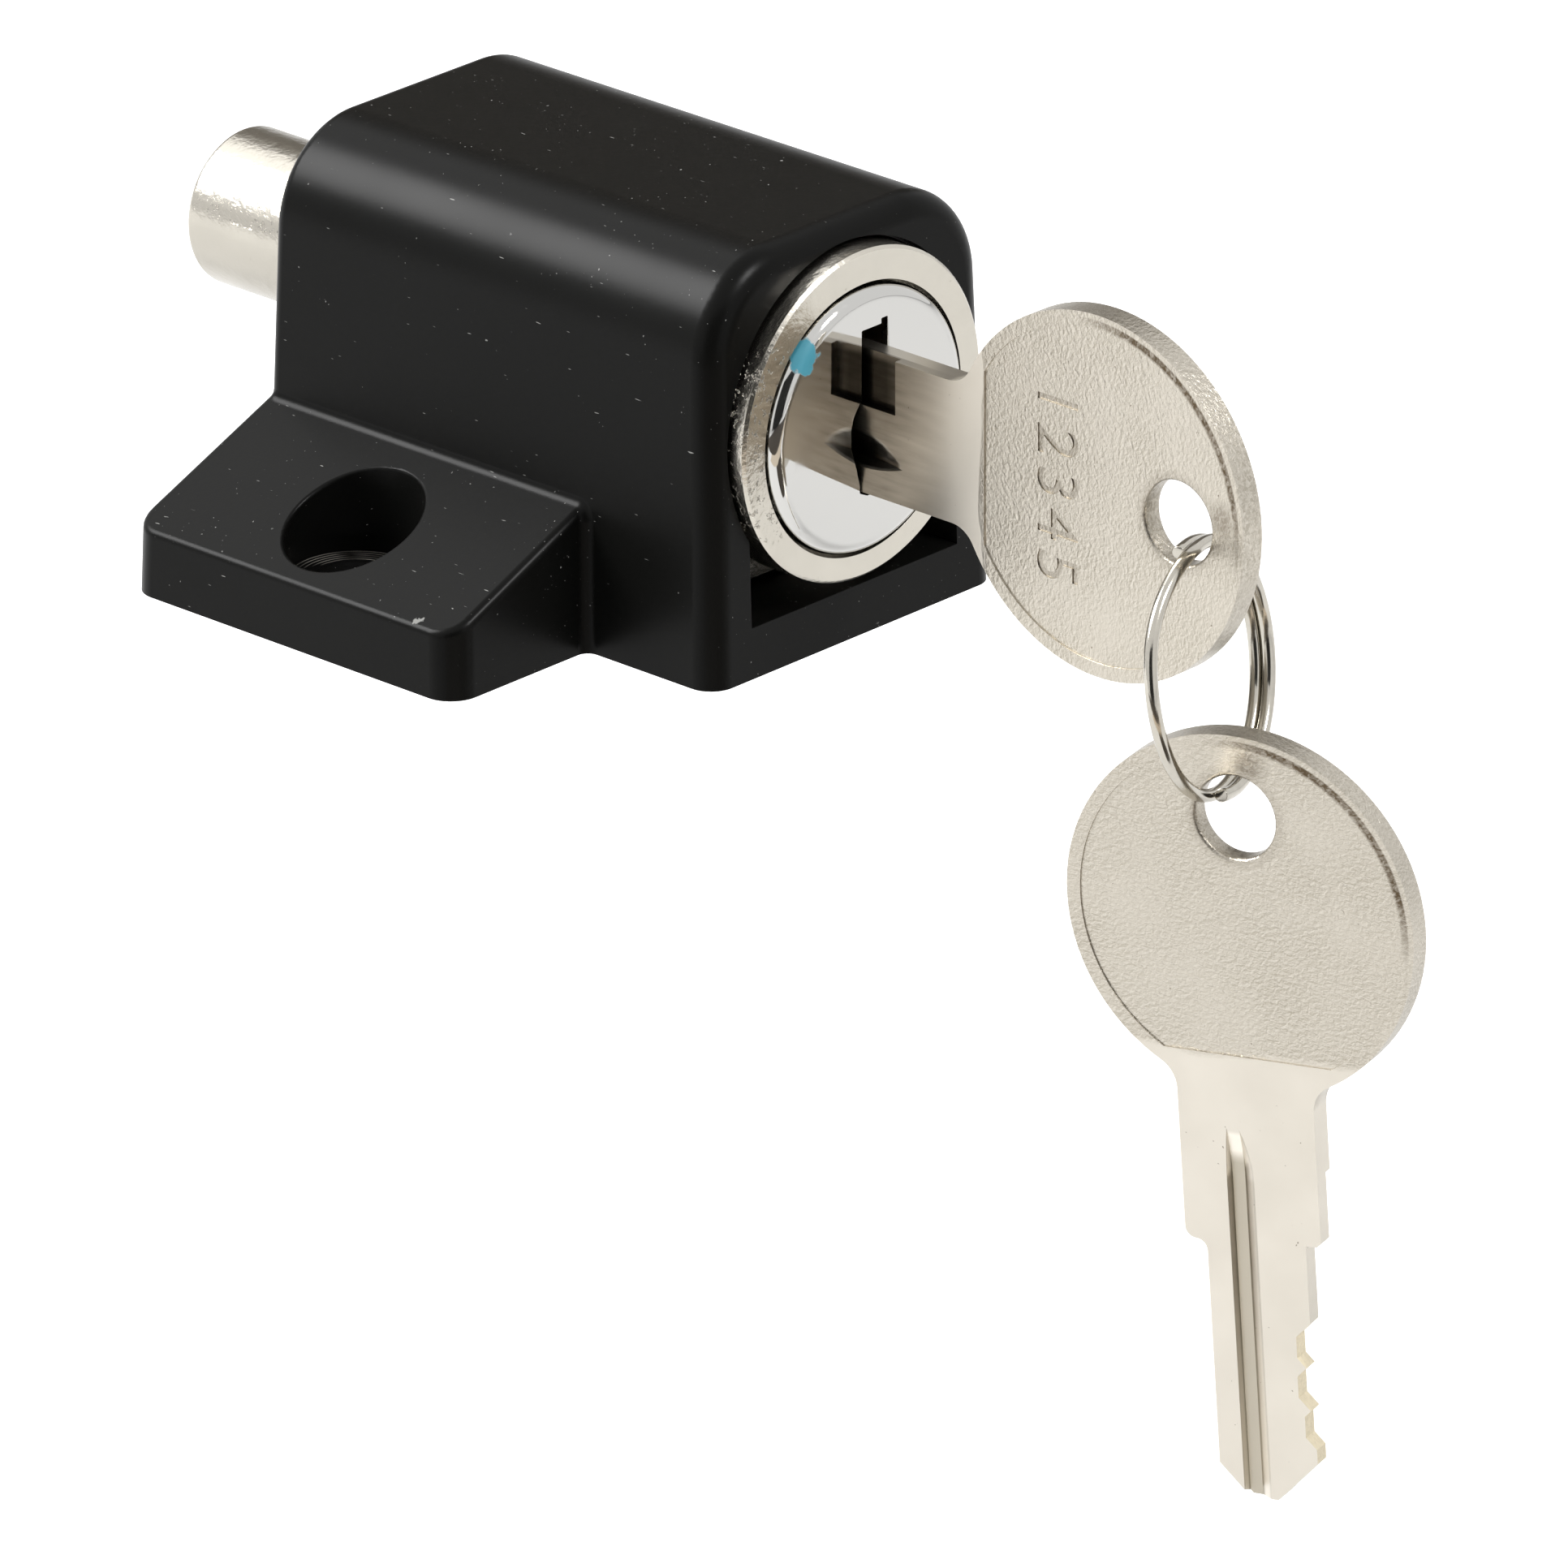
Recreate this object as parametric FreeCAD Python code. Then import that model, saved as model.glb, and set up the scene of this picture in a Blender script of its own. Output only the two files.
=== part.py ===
import FreeCAD, Part
import math
import os

# Sliding door lock: a surface mounted plunger lock with its two keys on a split ring.
# Millimetres. The mounting face is z = 0, the bolt leaves towards +Y, the key goes in from -Y,
# and the origin lies midway between the two screw holes.

# Housing body
BODY_WIDTH = 25.6
BODY_LENGTH = 38.1
BODY_HEIGHT = 26.8
BODY_TOP_RADIUS = 6.5
BODY_EDGE_RADIUS = 1.7
REAR_EDGE_RADIUS = 1.0
DRAFT_DEG = 1.7
REAR_BEHIND_SCREWS = 13.85
REAR_WALL = 3.0

# Screw ears
EAR_HALF_SPAN = 24.6
EAR_FRONT_SETBACK = 10.45
EAR_OUTER_HEIGHT = 4.3
EAR_INNER_HEIGHT = 9.4
EAR_CORNER_RADIUS = 2.0
EAR_EDGE_RADIUS = 0.6
EAR_ROOT_RADIUS = 0.8
EAR_INBOARD = 1.0

# Screw holes
SCREW_OUTWARD = 0.05
SCREW_HOLE_RADIUS = 2.6
SCREW_HEAD_MARGIN = 1.6
SCREW_SEAT_HEIGHT = 2.9
HOLE_RIM_RADIUS = 0.25

# Tunnel through the housing
AXIS_BELOW_TOP = 12.1
MOUTH_GAP = 0.3
MOUTH_DEPTH = 1.6
SLIDE_GAP = 0.3
STROKE = 13.5

# Barrel
RING_MARGIN = 2.2
RING_PROUD = 1.05
RING_DEPTH = 3.2
RING_EDGE = 0.2
BARREL_STEP = 0.15
BARREL_LENGTH = 26.1
KEEL_INSET = 1.7
KEEL_SETBACK = 2.5
KEEL_DEPTH = 11.1
KEEL_EDGE = 0.4

# Bolt
BOLT_GUIDE_RADIUS = 5.4
BOLT_NOSE_RADIUS = 5.1
BOLT_THROW = 14.05
BOLT_GUIDE_PROUD = 1.0
BOLT_END_EDGE = 0.45
BOLT_HOLE_GAP = 0.15
SPIGOT_RADIUS = 3.0
SPIGOT_LENGTH = 3.4
SPIGOT_GAP = 0.05
CROSS_PIN_RADIUS = 0.8
CROSS_PIN_INSET = 0.95

# Return spring round the bolt
SPRING_WIRE_RADIUS = 0.5
SPRING_COIL_RADIUS = 6.4
SPRING_TURNS = 5
SPRING_END_GAP = 0.15

# Stop pin pressed into the floor, riding in a groove of the keel
STOP_PIN_RADIUS = 1.25
STOP_PIN_X = 6.0
STOP_PIN_SETBACK = 7.75
STOP_PIN_REACH = 2.3
STOP_PIN_SUNK = 0.3
STOP_GAP = 0.15

# Plug
PLUG_RADIUS = 6.5
PLUG_RUNNING_GAP = 0.05
PLUG_DROP = 0.25
PLUG_HEAD_RADIUS = 8.1
PLUG_HEAD_LENGTH = 2.2
PLUG_LENGTH = 19.75
HEAD_GAP = 0.2
HEAD_SEAT_GAP = 0.15
CAP_WALL = 0.4
CAP_FACE = 0.5
CAP_FIT = 0.05
CAP_EDGE_RADIUS = 0.9
CAP_RIM_LENGTH = 1.9
CAP_PROUD = 0.6

# Pin that keeps the plug in the barrel
KEEP_PIN_RADIUS = 0.6
KEEP_PIN_INSET = 0.39
KEEP_PIN_SETBACK = 3.1
KEEP_GROOVE_DEPTH = 0.95
KEEP_GROOVE_SIDE = 0.1
KEEP_PIN_GAP = 0.05

# Wafers
WAFER_COUNT = 5
WAFER_PITCH = 2.6
WAFER_FIRST = 4.5
WAFER_THICKNESS = 1.0
WAFER_HALF_WIDTH = 3.2
WAFER_END_RADIUS = 6.35
WAFER_DROP = 0.7
WAFER_GAP = 0.1
WAFER_TAB_REACH = 4.5
WAFER_TAB_HEIGHT = 1.0
WAFER_TAB_LOW = -1.5
WINDOW_SIDE_GAP = 0.3
WINDOW_END_GAP = 0.15
CHANNEL_RADIUS = 7.6
CHANNEL_SIDE_GAP = 0.25
CHANNEL_END_GAP = 0.4
WAFER_SPRING_X = 4.0
WAFER_SPRING_COIL = 0.55
WAFER_SPRING_WIRE = 0.12
WAFER_SPRING_TURNS = 3
WAFER_SPRING_LENGTH = 2.8
WAFER_SPRING_POCKET = 0.8

# Locking lug and the drive pin on the plug's tail
LUG_HALF_WIDTH = 3.5
LUG_THICKNESS = 2.2
LUG_HEIGHT = 13.9
LUG_LIFT = 0.15
LUG_THROW = 2.5
LUG_GAP = 0.1
LUG_SLOT_CLEAR = 0.2
DRIVE_PIN_RADIUS = 0.8
DRIVE_SLOT_GAP = 0.12
KEEPER_DEPTH = 2.3
KEEPER_GAP = 0.3

# Keys
KEY_THICKNESS = 1.7
KEY_BOW_RADIUS = 11.65
KEY_BOW_BACK = 20.65
KEY_BOW_RISE = 0.3
KEY_HOLE_BACK = 26.98
KEY_HOLE_RADIUS = 2.65
KEY_RIM_WIDTH = 0.9
KEY_COIN_DEPTH = 0.1
KEY_COIN_END = 11.5
KEY_NECK_HEIGHT = 9.2
KEY_NECK_FILLET = 2.0
KEY_NECK_CORNER = 0.3
KEY_BLADE_TOP = 3.57
KEY_BLADE_BOTTOM = 3.15
KEY_BLADE_LENGTH = 17.45
KEY_TIP_TOP = 0.75
KEY_TIP_BOTTOM = -1.2
KEY_BACK_STEP = 0.1
KEY_CUTS = [0.0, 1.0, 1.05, 0.7, 0.0]
KEY_CUT_FLOOR = 1.4
KEY_STOP = 0.9
KEY_TOP_STEP = 0.3

# Milled sides of the key
RABBET_DEPTH = 0.55
RABBET_FLOOR = 1.1
RABBET_RUN = 4.25
GROOVE_DEPTH = 0.5
CUTTER_RADIUS = 12.0
CUTTER_RUN_OUT_DEG = 25.0
LEFT_GROOVE = [-2.95, -2.3, -2.0, -0.45]
LEFT_GROOVE_RUN = 1.4
RIGHT_GROOVE = [-1.55, -1.4, -0.55, 0.3]
RIGHT_GROOVE_RUN = 3.3
KEYWAY_GAP = 0.15
WARD_GAP = 0.2
RIB_SIDE_GAP = 0.35

# Mouth of the keyway in the cap, wider than the key
MOUTH_HALF_LEFT = 0.75
MOUTH_RIGHT = 1.55
MOUTH_TOP = 5.8
MOUTH_BOTTOM = 5.0
MOUTH_NOTCH = 0.35
MOUTH_NOTCH_LEFT = 1.0
MOUTH_WARD = 1.3
MOUTH_LOBE = 1.7
MOUTH_LOBE_ROUND = 0.45
MOUTH_LOBE_LOW = -1.6
MOUTH_LOBE_HIGH = -0.35
MOUTH_LOBE_FOOT = -4.2
MOUTH_LEAD_LOW = 1.4
MOUTH_LEAD_HIGH = 0.75
MOUTH_KEY_SIDE = 0.95
MOUTH_CORNER = 0.3

# Split ring, as it hangs in the hole of the working key
RING_WIRE_RADIUS = 0.4
RING_COIL_RADIUS = 7.65
RING_SPREAD = 0.61
RING_TURN_DEG = 19.3
RING_LEAN_DEG = 10.2
RING_START_DEG = 108.0
RING_END_DEG = 98.0
RING_CROSS_FIRST_DEG = 92.0
RING_CROSS_LAST_DEG = 170.0
RING_SIDE = -0.3
RING_OUT = 2.3
RING_DOWN = 8.8

# Spare key, as it hangs on the ring
SPARE_SIDE = -0.1
SPARE_OUT = 2.55
SPARE_DOWN = 8.7
SPARE_TURN_DEG = -75.4
SPARE_TILT_DEG = 3.8

# Worked out places
TAN = math.tan(math.radians(DRAFT_DEG))
Y_REAR = REAR_BEHIND_SCREWS
Y_FRONT = Y_REAR - BODY_LENGTH
Y_EAR = Y_FRONT + EAR_FRONT_SETBACK
Z_AXIS = BODY_HEIGHT - AXIS_BELOW_TOP
Z_PLUG = Z_AXIS - PLUG_DROP
Y_FACE = Y_FRONT + Z_AXIS * TAN - RING_PROUD
Y_BARREL_END = Y_FACE + BARREL_LENGTH
Y_WALL = Y_REAR - REAR_WALL
Y_BOLT_END = Y_REAR + BOLT_THROW
Y_CAP = Y_FACE - CAP_PROUD
Y_PLUG = Y_CAP + CAP_FACE + CAP_FIT
Y_PLUG_END = Y_PLUG + PLUG_LENGTH
Y_HEAD_BACK = Y_PLUG + PLUG_HEAD_LENGTH
Y_SHOULDER = Y_PLUG + KEY_STOP
SCREW_X = (BODY_WIDTH / 2.0 + EAR_HALF_SPAN) / 2.0 + SCREW_OUTWARD
SCREW_HEAD_RADIUS = (EAR_HALF_SPAN - BODY_WIDTH / 2.0) / 2.0 - SCREW_HEAD_MARGIN
RING_RADIUS = BODY_WIDTH / 2.0 - RING_MARGIN
BARREL_RADIUS = RING_RADIUS - BARREL_STEP
KEEL_HALF_WIDTH = RING_RADIUS - KEEL_INSET
KEEL_BOTTOM = Z_AXIS - KEEL_DEPTH
FLOOR = KEEL_BOTTOM - SLIDE_GAP
SLOT_HALF = KEEL_HALF_WIDTH + SLIDE_GAP
CAP_RADIUS = PLUG_HEAD_RADIUS + CAP_FIT + CAP_WALL
DRIVE_RADIUS = LUG_THROW / math.sqrt(2.0)
DRIVE_STEP = LUG_THROW / 2.0
Y_LUG = Y_PLUG_END + LUG_GAP
Y_LUG_END = Y_LUG + LUG_THICKNESS
LUG_BOTTOM = KEEL_BOTTOM + LUG_LIFT
Y_STOP = Y_FRONT + STOP_PIN_SETBACK
Y_CROSS_PIN = Y_BARREL_END - SPIGOT_LENGTH / 2.0
Y_KEEP_PIN = Y_FACE + KEEP_PIN_SETBACK
Z_KEEP_PIN = Z_PLUG + PLUG_RADIUS - KEEP_GROOVE_DEPTH + KEEP_PIN_GAP + KEEP_PIN_RADIUS
CROSS_PIN_LENGTH = 2.0 * (BARREL_RADIUS - CROSS_PIN_INSET)
KEEP_PIN_LENGTH = 2.0 * (math.sqrt(BARREL_RADIUS ** 2 - (Z_KEEP_PIN - Z_AXIS) ** 2) - KEEP_PIN_INSET)
Y_HOLE = Y_SHOULDER - KEY_HOLE_BACK
Z_HOLE = Z_AXIS + KEY_BOW_RISE
EPS = 0.01
OVER = 1.0
FAR = 60.0

V = FreeCAD.Vector
X_DIR = V(1, 0, 0)
Y_DIR = V(0, 1, 0)
Z_DIR = V(0, 0, 1)
RING_CENTRE = V(RING_SIDE, Y_HOLE - RING_OUT, Z_HOLE - RING_DOWN)
RING_E = V(math.cos(math.radians(RING_TURN_DEG)), math.sin(math.radians(RING_TURN_DEG)), 0.0)
RING_BACK = V(-RING_E.y, RING_E.x, 0.0)
RING_UP = Z_DIR * math.cos(math.radians(RING_LEAN_DEG)) + RING_BACK * math.sin(math.radians(RING_LEAN_DEG))
RING_N = RING_UP.cross(RING_E)


# Plain shapes
def box(x0, x1, y0, y1, z0, z1):
    return Part.makeBox(x1 - x0, y1 - y0, z1 - z0, V(x0, y0, z0))


def rod_y(radius, y0, y1, x=0.0, z=Z_AXIS):
    return Part.makeCylinder(radius, y1 - y0, V(x, y0, z), Y_DIR)


def rod_z(radius, z0, z1, x, y):
    return Part.makeCylinder(radius, z1 - z0, V(x, y, z0), Z_DIR)


def rod_x(radius, length, y, z):
    return Part.makeCylinder(radius, length, V(-length / 2.0, y, z), X_DIR)


def polygon(points):
    return Part.Face(Part.makePolygon(points + [points[0]]))


def prism_y(outline, y0, y1):
    return polygon([V(x, y0, z) for x, z in outline]).extrude(V(0, y1 - y0, 0))


def prism_x(outline, x0, x1):
    return polygon([V(x0, y, z) for y, z in outline]).extrude(V(x1 - x0, 0, 0))


def joined(shapes):
    return shapes[0].multiFuse(shapes[1:]).removeSplitter()


def edges_where(shape, test):
    return [e for e in shape.Edges if test(e.valueAt((e.FirstParameter + e.LastParameter) / 2.0), e)]


def same(a, b, slack=0.02):
    return abs(a - b) < slack


# A round wire along a smooth path, as one tube on pairs of tangent arcs
def arc_between(start, tangent, end):
    chord = end - start
    along = V(chord).normalize()
    side = tangent - along * tangent.dot(along)
    if side.Length < 1e-6:
        return Part.LineSegment(start, end).toShape()
    half = math.acos(max(-1.0, min(1.0, tangent.dot(along))))
    middle = (start + end) * 0.5 + side.normalize() * (chord.Length / 2.0 * math.tan(half / 2.0))
    return Part.Arc(start, middle, end).toShape()


def biarc(p0, t0, p1, t1):
    v = p1 - p0
    t = t0 + t1
    a = 2.0 * (t0.dot(t1) - 1.0)
    b = -2.0 * v.dot(t)
    c = v.dot(v)
    if abs(a) < 1e-9:
        d = -c / b
    else:
        d = (-b - math.sqrt(b * b - 4.0 * a * c)) / (2.0 * a)
    joint = (p0 + p1 + (t0 - t1) * d) * 0.5
    back = arc_between(p1, t1 * -1.0, joint)
    return [arc_between(p0, t0, joint), back]


def tube(point_at, values, radius):
    step = 1e-4
    points = [point_at(a) for a in values]
    tangents = [(point_at(a + step) - point_at(a - step)).normalize() for a in values]
    edges = []
    for i in range(len(values) - 1):
        edges += biarc(points[i], tangents[i], points[i + 1], tangents[i + 1])
    path = Part.Wire(Part.__sortEdges__(edges))
    profile = Part.Wire(Part.Circle(points[0], tangents[0], radius).toShape())
    return path.makePipeShell([profile], True, False)


def steps(first, last, count):
    return [first + (last - first) * i / count for i in range(count + 1)]


def coil_point(centre, axis, across, radius, length, turns):
    up = axis.cross(across)

    def point_at(a):
        along = axis * (length * a / (2.0 * math.pi * turns))
        return centre + along + across * (radius * math.cos(a)) + up * (radius * math.sin(a))
    return point_at


def coil(centre, axis, across, radius, wire, length, turns):
    point_at = coil_point(centre, axis, across, radius, length, turns)
    return tube(point_at, steps(0.0, 2.0 * math.pi * turns, 4 * turns), wire)


def coil_gap(centre, axis, across, radius, wire, length, turns):
    point_at = coil_point(centre, axis, across, radius, length, turns)
    count = 48 * turns
    points = [point_at(a) for a in steps(0.0, 2.0 * math.pi * turns, count)]
    apart = [(points[i] - points[j]).Length for i in range(count) for j in range(i + 36, count)]
    return min(apart) - 2.0 * wire


# Housing: body, screw ears, tunnel, screw holes and keeper pockets
def leaning_cut(y, way):
    top = BODY_HEIGHT + OVER
    outline = [(y, -EPS), (y + way * FAR, -EPS), (y + way * FAR, top), (y - way * top * TAN, top)]
    return prism_x(outline, -FAR, FAR)


def housing_body():
    half = BODY_WIDTH / 2.0
    top = half - BODY_HEIGHT * TAN
    outline = [(-half, 0.0), (half, 0.0), (top, BODY_HEIGHT), (-top, BODY_HEIGHT)]
    body = prism_y(outline, Y_FRONT, Y_REAR)
    long_edges = edges_where(body, lambda p, e: same(p.z, BODY_HEIGHT) and same(abs(p.x), top))
    body = body.makeFillet(BODY_TOP_RADIUS, long_edges)
    body = body.cut(leaning_cut(Y_FRONT, -1)).cut(leaning_cut(Y_REAR, 1))
    front = edges_where(body, lambda p, e: same(p.y, Y_FRONT + p.z * TAN) and p.z > EPS and leans(e, 1))
    body = body.makeFillet(BODY_EDGE_RADIUS, front)
    rear = edges_where(body, lambda p, e: same(p.y, Y_REAR - p.z * TAN) and p.z > EPS and leans(e, -1))
    return body.makeFillet(REAR_EDGE_RADIUS, rear)


def leans(edge, way):
    base = Y_FRONT if way > 0 else Y_REAR
    ends = [edge.valueAt(edge.FirstParameter), edge.valueAt(edge.LastParameter)]
    return all(same(p.y, base + way * p.z * TAN) for p in ends)


def ear(side):
    half = BODY_WIDTH / 2.0
    outer = EAR_HALF_SPAN
    outer_top = outer - EAR_OUTER_HEIGHT * TAN
    inner = half - EAR_INNER_HEIGHT * TAN
    slope = (EAR_INNER_HEIGHT - EAR_OUTER_HEIGHT) / (outer_top - inner)
    root = SLOT_HALF + EAR_INBOARD
    root_height = EAR_INNER_HEIGHT + slope * (inner - root)
    outline = [(root, 0.0), (outer, 0.0), (outer_top, EAR_OUTER_HEIGHT), (root, root_height)]
    wedge = prism_y([(side * x, z) for x, z in outline], Y_EAR, Y_REAR)
    wedge = wedge.cut(leaning_cut(Y_EAR, -1)).cut(leaning_cut(Y_REAR, 1))
    mid = EAR_OUTER_HEIGHT / 2.0
    corners = edges_where(wedge, lambda p, e: same(p.z, mid) and same(abs(p.x), outer - mid * TAN))
    wedge = wedge.makeFillet(EAR_CORNER_RADIUS, corners)

    def on_top(p):
        return p.z > mid + EAR_EDGE_RADIUS and same(p.z, EAR_OUTER_HEIGHT + slope * (outer_top - abs(p.x)), 0.05)

    rim = edges_where(wedge, lambda p, e: on_top(p) and abs(p.x) > root + 0.1)
    return wedge.makeFillet(EAR_EDGE_RADIUS, rim)


def arch(radius, half_width, bottom, y0, y1):
    return rod_y(radius, y0, y1).fuse(box(-half_width, half_width, y0, y1, bottom, Z_AXIS))


# One side with its ear and root fillet, and its mirror image for the other side
def housing():
    shape = joined([housing_body(), ear(-1)])
    half = BODY_WIDTH / 2.0

    def root_line(p, e):
        return same(abs(p.x), half - p.z * TAN, 0.05) and p.y > Y_EAR - 0.1 and EPS < p.z < EAR_INNER_HEIGHT + 0.3

    shape = shape.makeFillet(EAR_ROOT_RADIUS, edges_where(shape, root_line))
    left = box(-EAR_HALF_SPAN - OVER, 0.0, Y_FRONT - OVER, Y_REAR + OVER, -OVER, BODY_HEIGHT + OVER)
    shape = shape.common(left)
    shape = joined([shape, shape.mirror(V(0, 0, 0), X_DIR)])
    mouth = arch(RING_RADIUS + MOUTH_GAP, SLOT_HALF, FLOOR, Y_FRONT - OVER, Y_FRONT + MOUTH_DEPTH)
    shape = shape.cut(mouth)
    shape = shape.cut(arch(BARREL_RADIUS + SLIDE_GAP, SLOT_HALF, FLOOR, Y_FRONT + MOUTH_DEPTH - EPS, Y_WALL))
    shape = shape.cut(rod_y(BOLT_GUIDE_RADIUS + BOLT_HOLE_GAP, Y_WALL - OVER, Y_REAR + OVER))
    for side in (-1, 1):
        x = side * SCREW_X
        shape = shape.cut(rod_z(SCREW_HOLE_RADIUS, -OVER, SCREW_SEAT_HEIGHT + OVER, x, 0.0))
        shape = shape.cut(rod_z(SCREW_HEAD_RADIUS, SCREW_SEAT_HEIGHT, BODY_HEIGHT, x, 0.0))
        rims = edges_where(shape, lambda p, e: hole_rim(p, e, x))
        shape = shape.makeFillet(HOLE_RIM_RADIUS, rims)
    pocket_half = LUG_HALF_WIDTH + KEEPER_GAP
    for out in (0.0, STROKE):
        shape = shape.cut(box(-pocket_half, pocket_half, Y_LUG - KEEPER_GAP - out,
                              Y_LUG_END + KEEPER_GAP - out, FLOOR - KEEPER_DEPTH, FLOOR + EPS))
    return shape.cut(rod_z(STOP_PIN_RADIUS, -OVER, FLOOR + EPS, STOP_PIN_X, Y_STOP))


def hole_rim(p, e, x):
    reach = math.hypot(p.x - x, p.y)
    return same(reach, SCREW_HEAD_RADIUS) and p.z > SCREW_SEAT_HEIGHT + 0.5 and e.Length > SCREW_HEAD_RADIUS


# Barrel: ring, plunger body with its keel, plug bore, wafer channels, lug slot and stop groove
def wafer_y(number):
    return Y_SHOULDER + WAFER_FIRST + WAFER_PITCH * number


def barrel():
    ring = rod_y(RING_RADIUS, Y_FACE, Y_FACE + RING_DEPTH)
    ring = ring.makeChamfer(RING_EDGE, edges_where(ring, lambda p, e: same(p.y, Y_FACE)))
    body = rod_y(BARREL_RADIUS, Y_FACE + RING_DEPTH - EPS, Y_BARREL_END)
    y_keel = Y_FACE + RING_DEPTH + KEEL_SETBACK
    keel = box(-KEEL_HALF_WIDTH, KEEL_HALF_WIDTH, y_keel, Y_BARREL_END, KEEL_BOTTOM, Z_AXIS)
    low = edges_where(keel, lambda p, e: same(p.z, KEEL_BOTTOM) and same(abs(p.x), KEEL_HALF_WIDTH))
    shape = joined([ring, body, keel.makeChamfer(KEEL_EDGE, low)])
    shape = shape.cut(rod_y(CAP_RADIUS + HEAD_GAP, Y_FACE - OVER, Y_HEAD_BACK + HEAD_SEAT_GAP, 0.0, Z_PLUG))
    bore_end = Y_PLUG_END + LUG_GAP / 2.0
    shape = shape.cut(rod_y(PLUG_RADIUS + PLUG_RUNNING_GAP, Y_FACE, bore_end, 0.0, Z_PLUG))
    first = wafer_y(0) - WAFER_THICKNESS / 2.0 - CHANNEL_END_GAP
    last = wafer_y(WAFER_COUNT - 1) + WAFER_THICKNESS / 2.0 + CHANNEL_END_GAP
    across = WAFER_HALF_WIDTH + CHANNEL_SIDE_GAP
    channels = box(-across, across, first, last, Z_PLUG - CHANNEL_RADIUS, Z_PLUG + CHANNEL_RADIUS)
    turned = box(-CHANNEL_RADIUS, CHANNEL_RADIUS, first, last, Z_PLUG - across, Z_PLUG + across)
    shape = shape.cut(channels.fuse(turned).common(rod_y(CHANNEL_RADIUS, first, last, 0.0, Z_PLUG)))
    wide = LUG_HALF_WIDTH + LUG_GAP
    shape = shape.cut(box(-wide, wide, bore_end - EPS, Y_LUG_END + LUG_GAP,
                          KEEL_BOTTOM - OVER, LUG_BOTTOM + LUG_HEIGHT + LUG_SLOT_CLEAR))
    shape = shape.cut(rod_y(SPIGOT_RADIUS + SPIGOT_GAP, Y_LUG_END, Y_BARREL_END + OVER))
    shape = shape.cut(rod_x(CROSS_PIN_RADIUS, CROSS_PIN_LENGTH, Y_CROSS_PIN, Z_AXIS))
    shape = shape.cut(rod_x(KEEP_PIN_RADIUS, KEEP_PIN_LENGTH, Y_KEEP_PIN, Z_KEEP_PIN))
    side = STOP_PIN_RADIUS + STOP_GAP
    groove_top = FLOOR + STOP_PIN_REACH + SLIDE_GAP
    return shape.cut(box(STOP_PIN_X - side, STOP_PIN_X + side, Y_STOP - side, Y_STOP + STROKE + side,
                         KEEL_BOTTOM - OVER, groove_top))


def bolt():
    y_step = Y_REAR + BOLT_GUIDE_PROUD
    nose = rod_y(BOLT_NOSE_RADIUS, y_step, Y_BOLT_END)
    nose = nose.makeFillet(BOLT_END_EDGE, edges_where(nose, lambda p, e: same(p.y, Y_BOLT_END)))
    guide = rod_y(BOLT_GUIDE_RADIUS, Y_BARREL_END, y_step)
    spigot = rod_y(SPIGOT_RADIUS, Y_BARREL_END - SPIGOT_LENGTH, Y_BARREL_END + EPS)
    return joined([nose, guide, spigot]).cut(rod_x(CROSS_PIN_RADIUS, CROSS_PIN_LENGTH, Y_CROSS_PIN, Z_AXIS))


# Plug with its keyway, wafer slots and drive pin
def at_axis(outline):
    return [(x, Z_AXIS + v) for x, v in outline]


def rib_outline(section, side, rib):
    return [(side, section[0] + RIB_SIDE_GAP), (side + rib, section[1] + KEYWAY_GAP / 2.0),
            (side + rib, section[2] - KEYWAY_GAP / 2.0), (side, section[3] - RIB_SIDE_GAP)]


def keyway_outline():
    left = -KEY_THICKNESS / 2.0 - KEYWAY_GAP
    right = -left
    ward_left = -KEY_THICKNESS / 2.0 + RABBET_DEPTH - WARD_GAP
    top = KEY_BLADE_TOP + WARD_GAP
    bottom = -KEY_BLADE_BOTTOM - WARD_GAP
    ward_step = RABBET_FLOOR + WARD_GAP
    rib = GROOVE_DEPTH - WARD_GAP
    left_rib = rib_outline(LEFT_GROOVE, left, rib)
    right_rib = rib_outline(RIGHT_GROOVE, right, -rib)[::-1]
    return ([(left, bottom)] + left_rib + [(left, ward_step), (ward_left, ward_step), (ward_left, top),
            (right, top)] + right_rib + [(right, bottom)])


def mouth_outline():
    side = MOUTH_KEY_SIDE
    lobe = MOUTH_LOBE
    corner = MOUTH_CORNER
    low = [(MOUTH_RIGHT - corner, -MOUTH_BOTTOM), (-corner, -MOUTH_BOTTOM), (-side, -MOUTH_BOTTOM + corner)]
    left = [(-side, MOUTH_LOBE_FOOT), (-lobe + MOUTH_LOBE_ROUND, MOUTH_LOBE_LOW - MOUTH_LEAD_LOW),
            (-lobe, MOUTH_LOBE_LOW), (-lobe, MOUTH_LOBE_HIGH),
            (-lobe + MOUTH_LOBE_ROUND / 2.0, MOUTH_LOBE_HIGH + MOUTH_LEAD_HIGH),
            (-side, MOUTH_WARD - corner / 2.0), (-MOUTH_HALF_LEFT, MOUTH_WARD)]
    high = [(-MOUTH_HALF_LEFT, MOUTH_TOP), (MOUTH_NOTCH_LEFT, MOUTH_TOP),
            (MOUTH_NOTCH_LEFT, MOUTH_TOP + MOUTH_NOTCH), (MOUTH_RIGHT, MOUTH_TOP + MOUTH_NOTCH)]
    return low + left + high + [(MOUTH_RIGHT, -MOUTH_BOTTOM + corner)]


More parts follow.
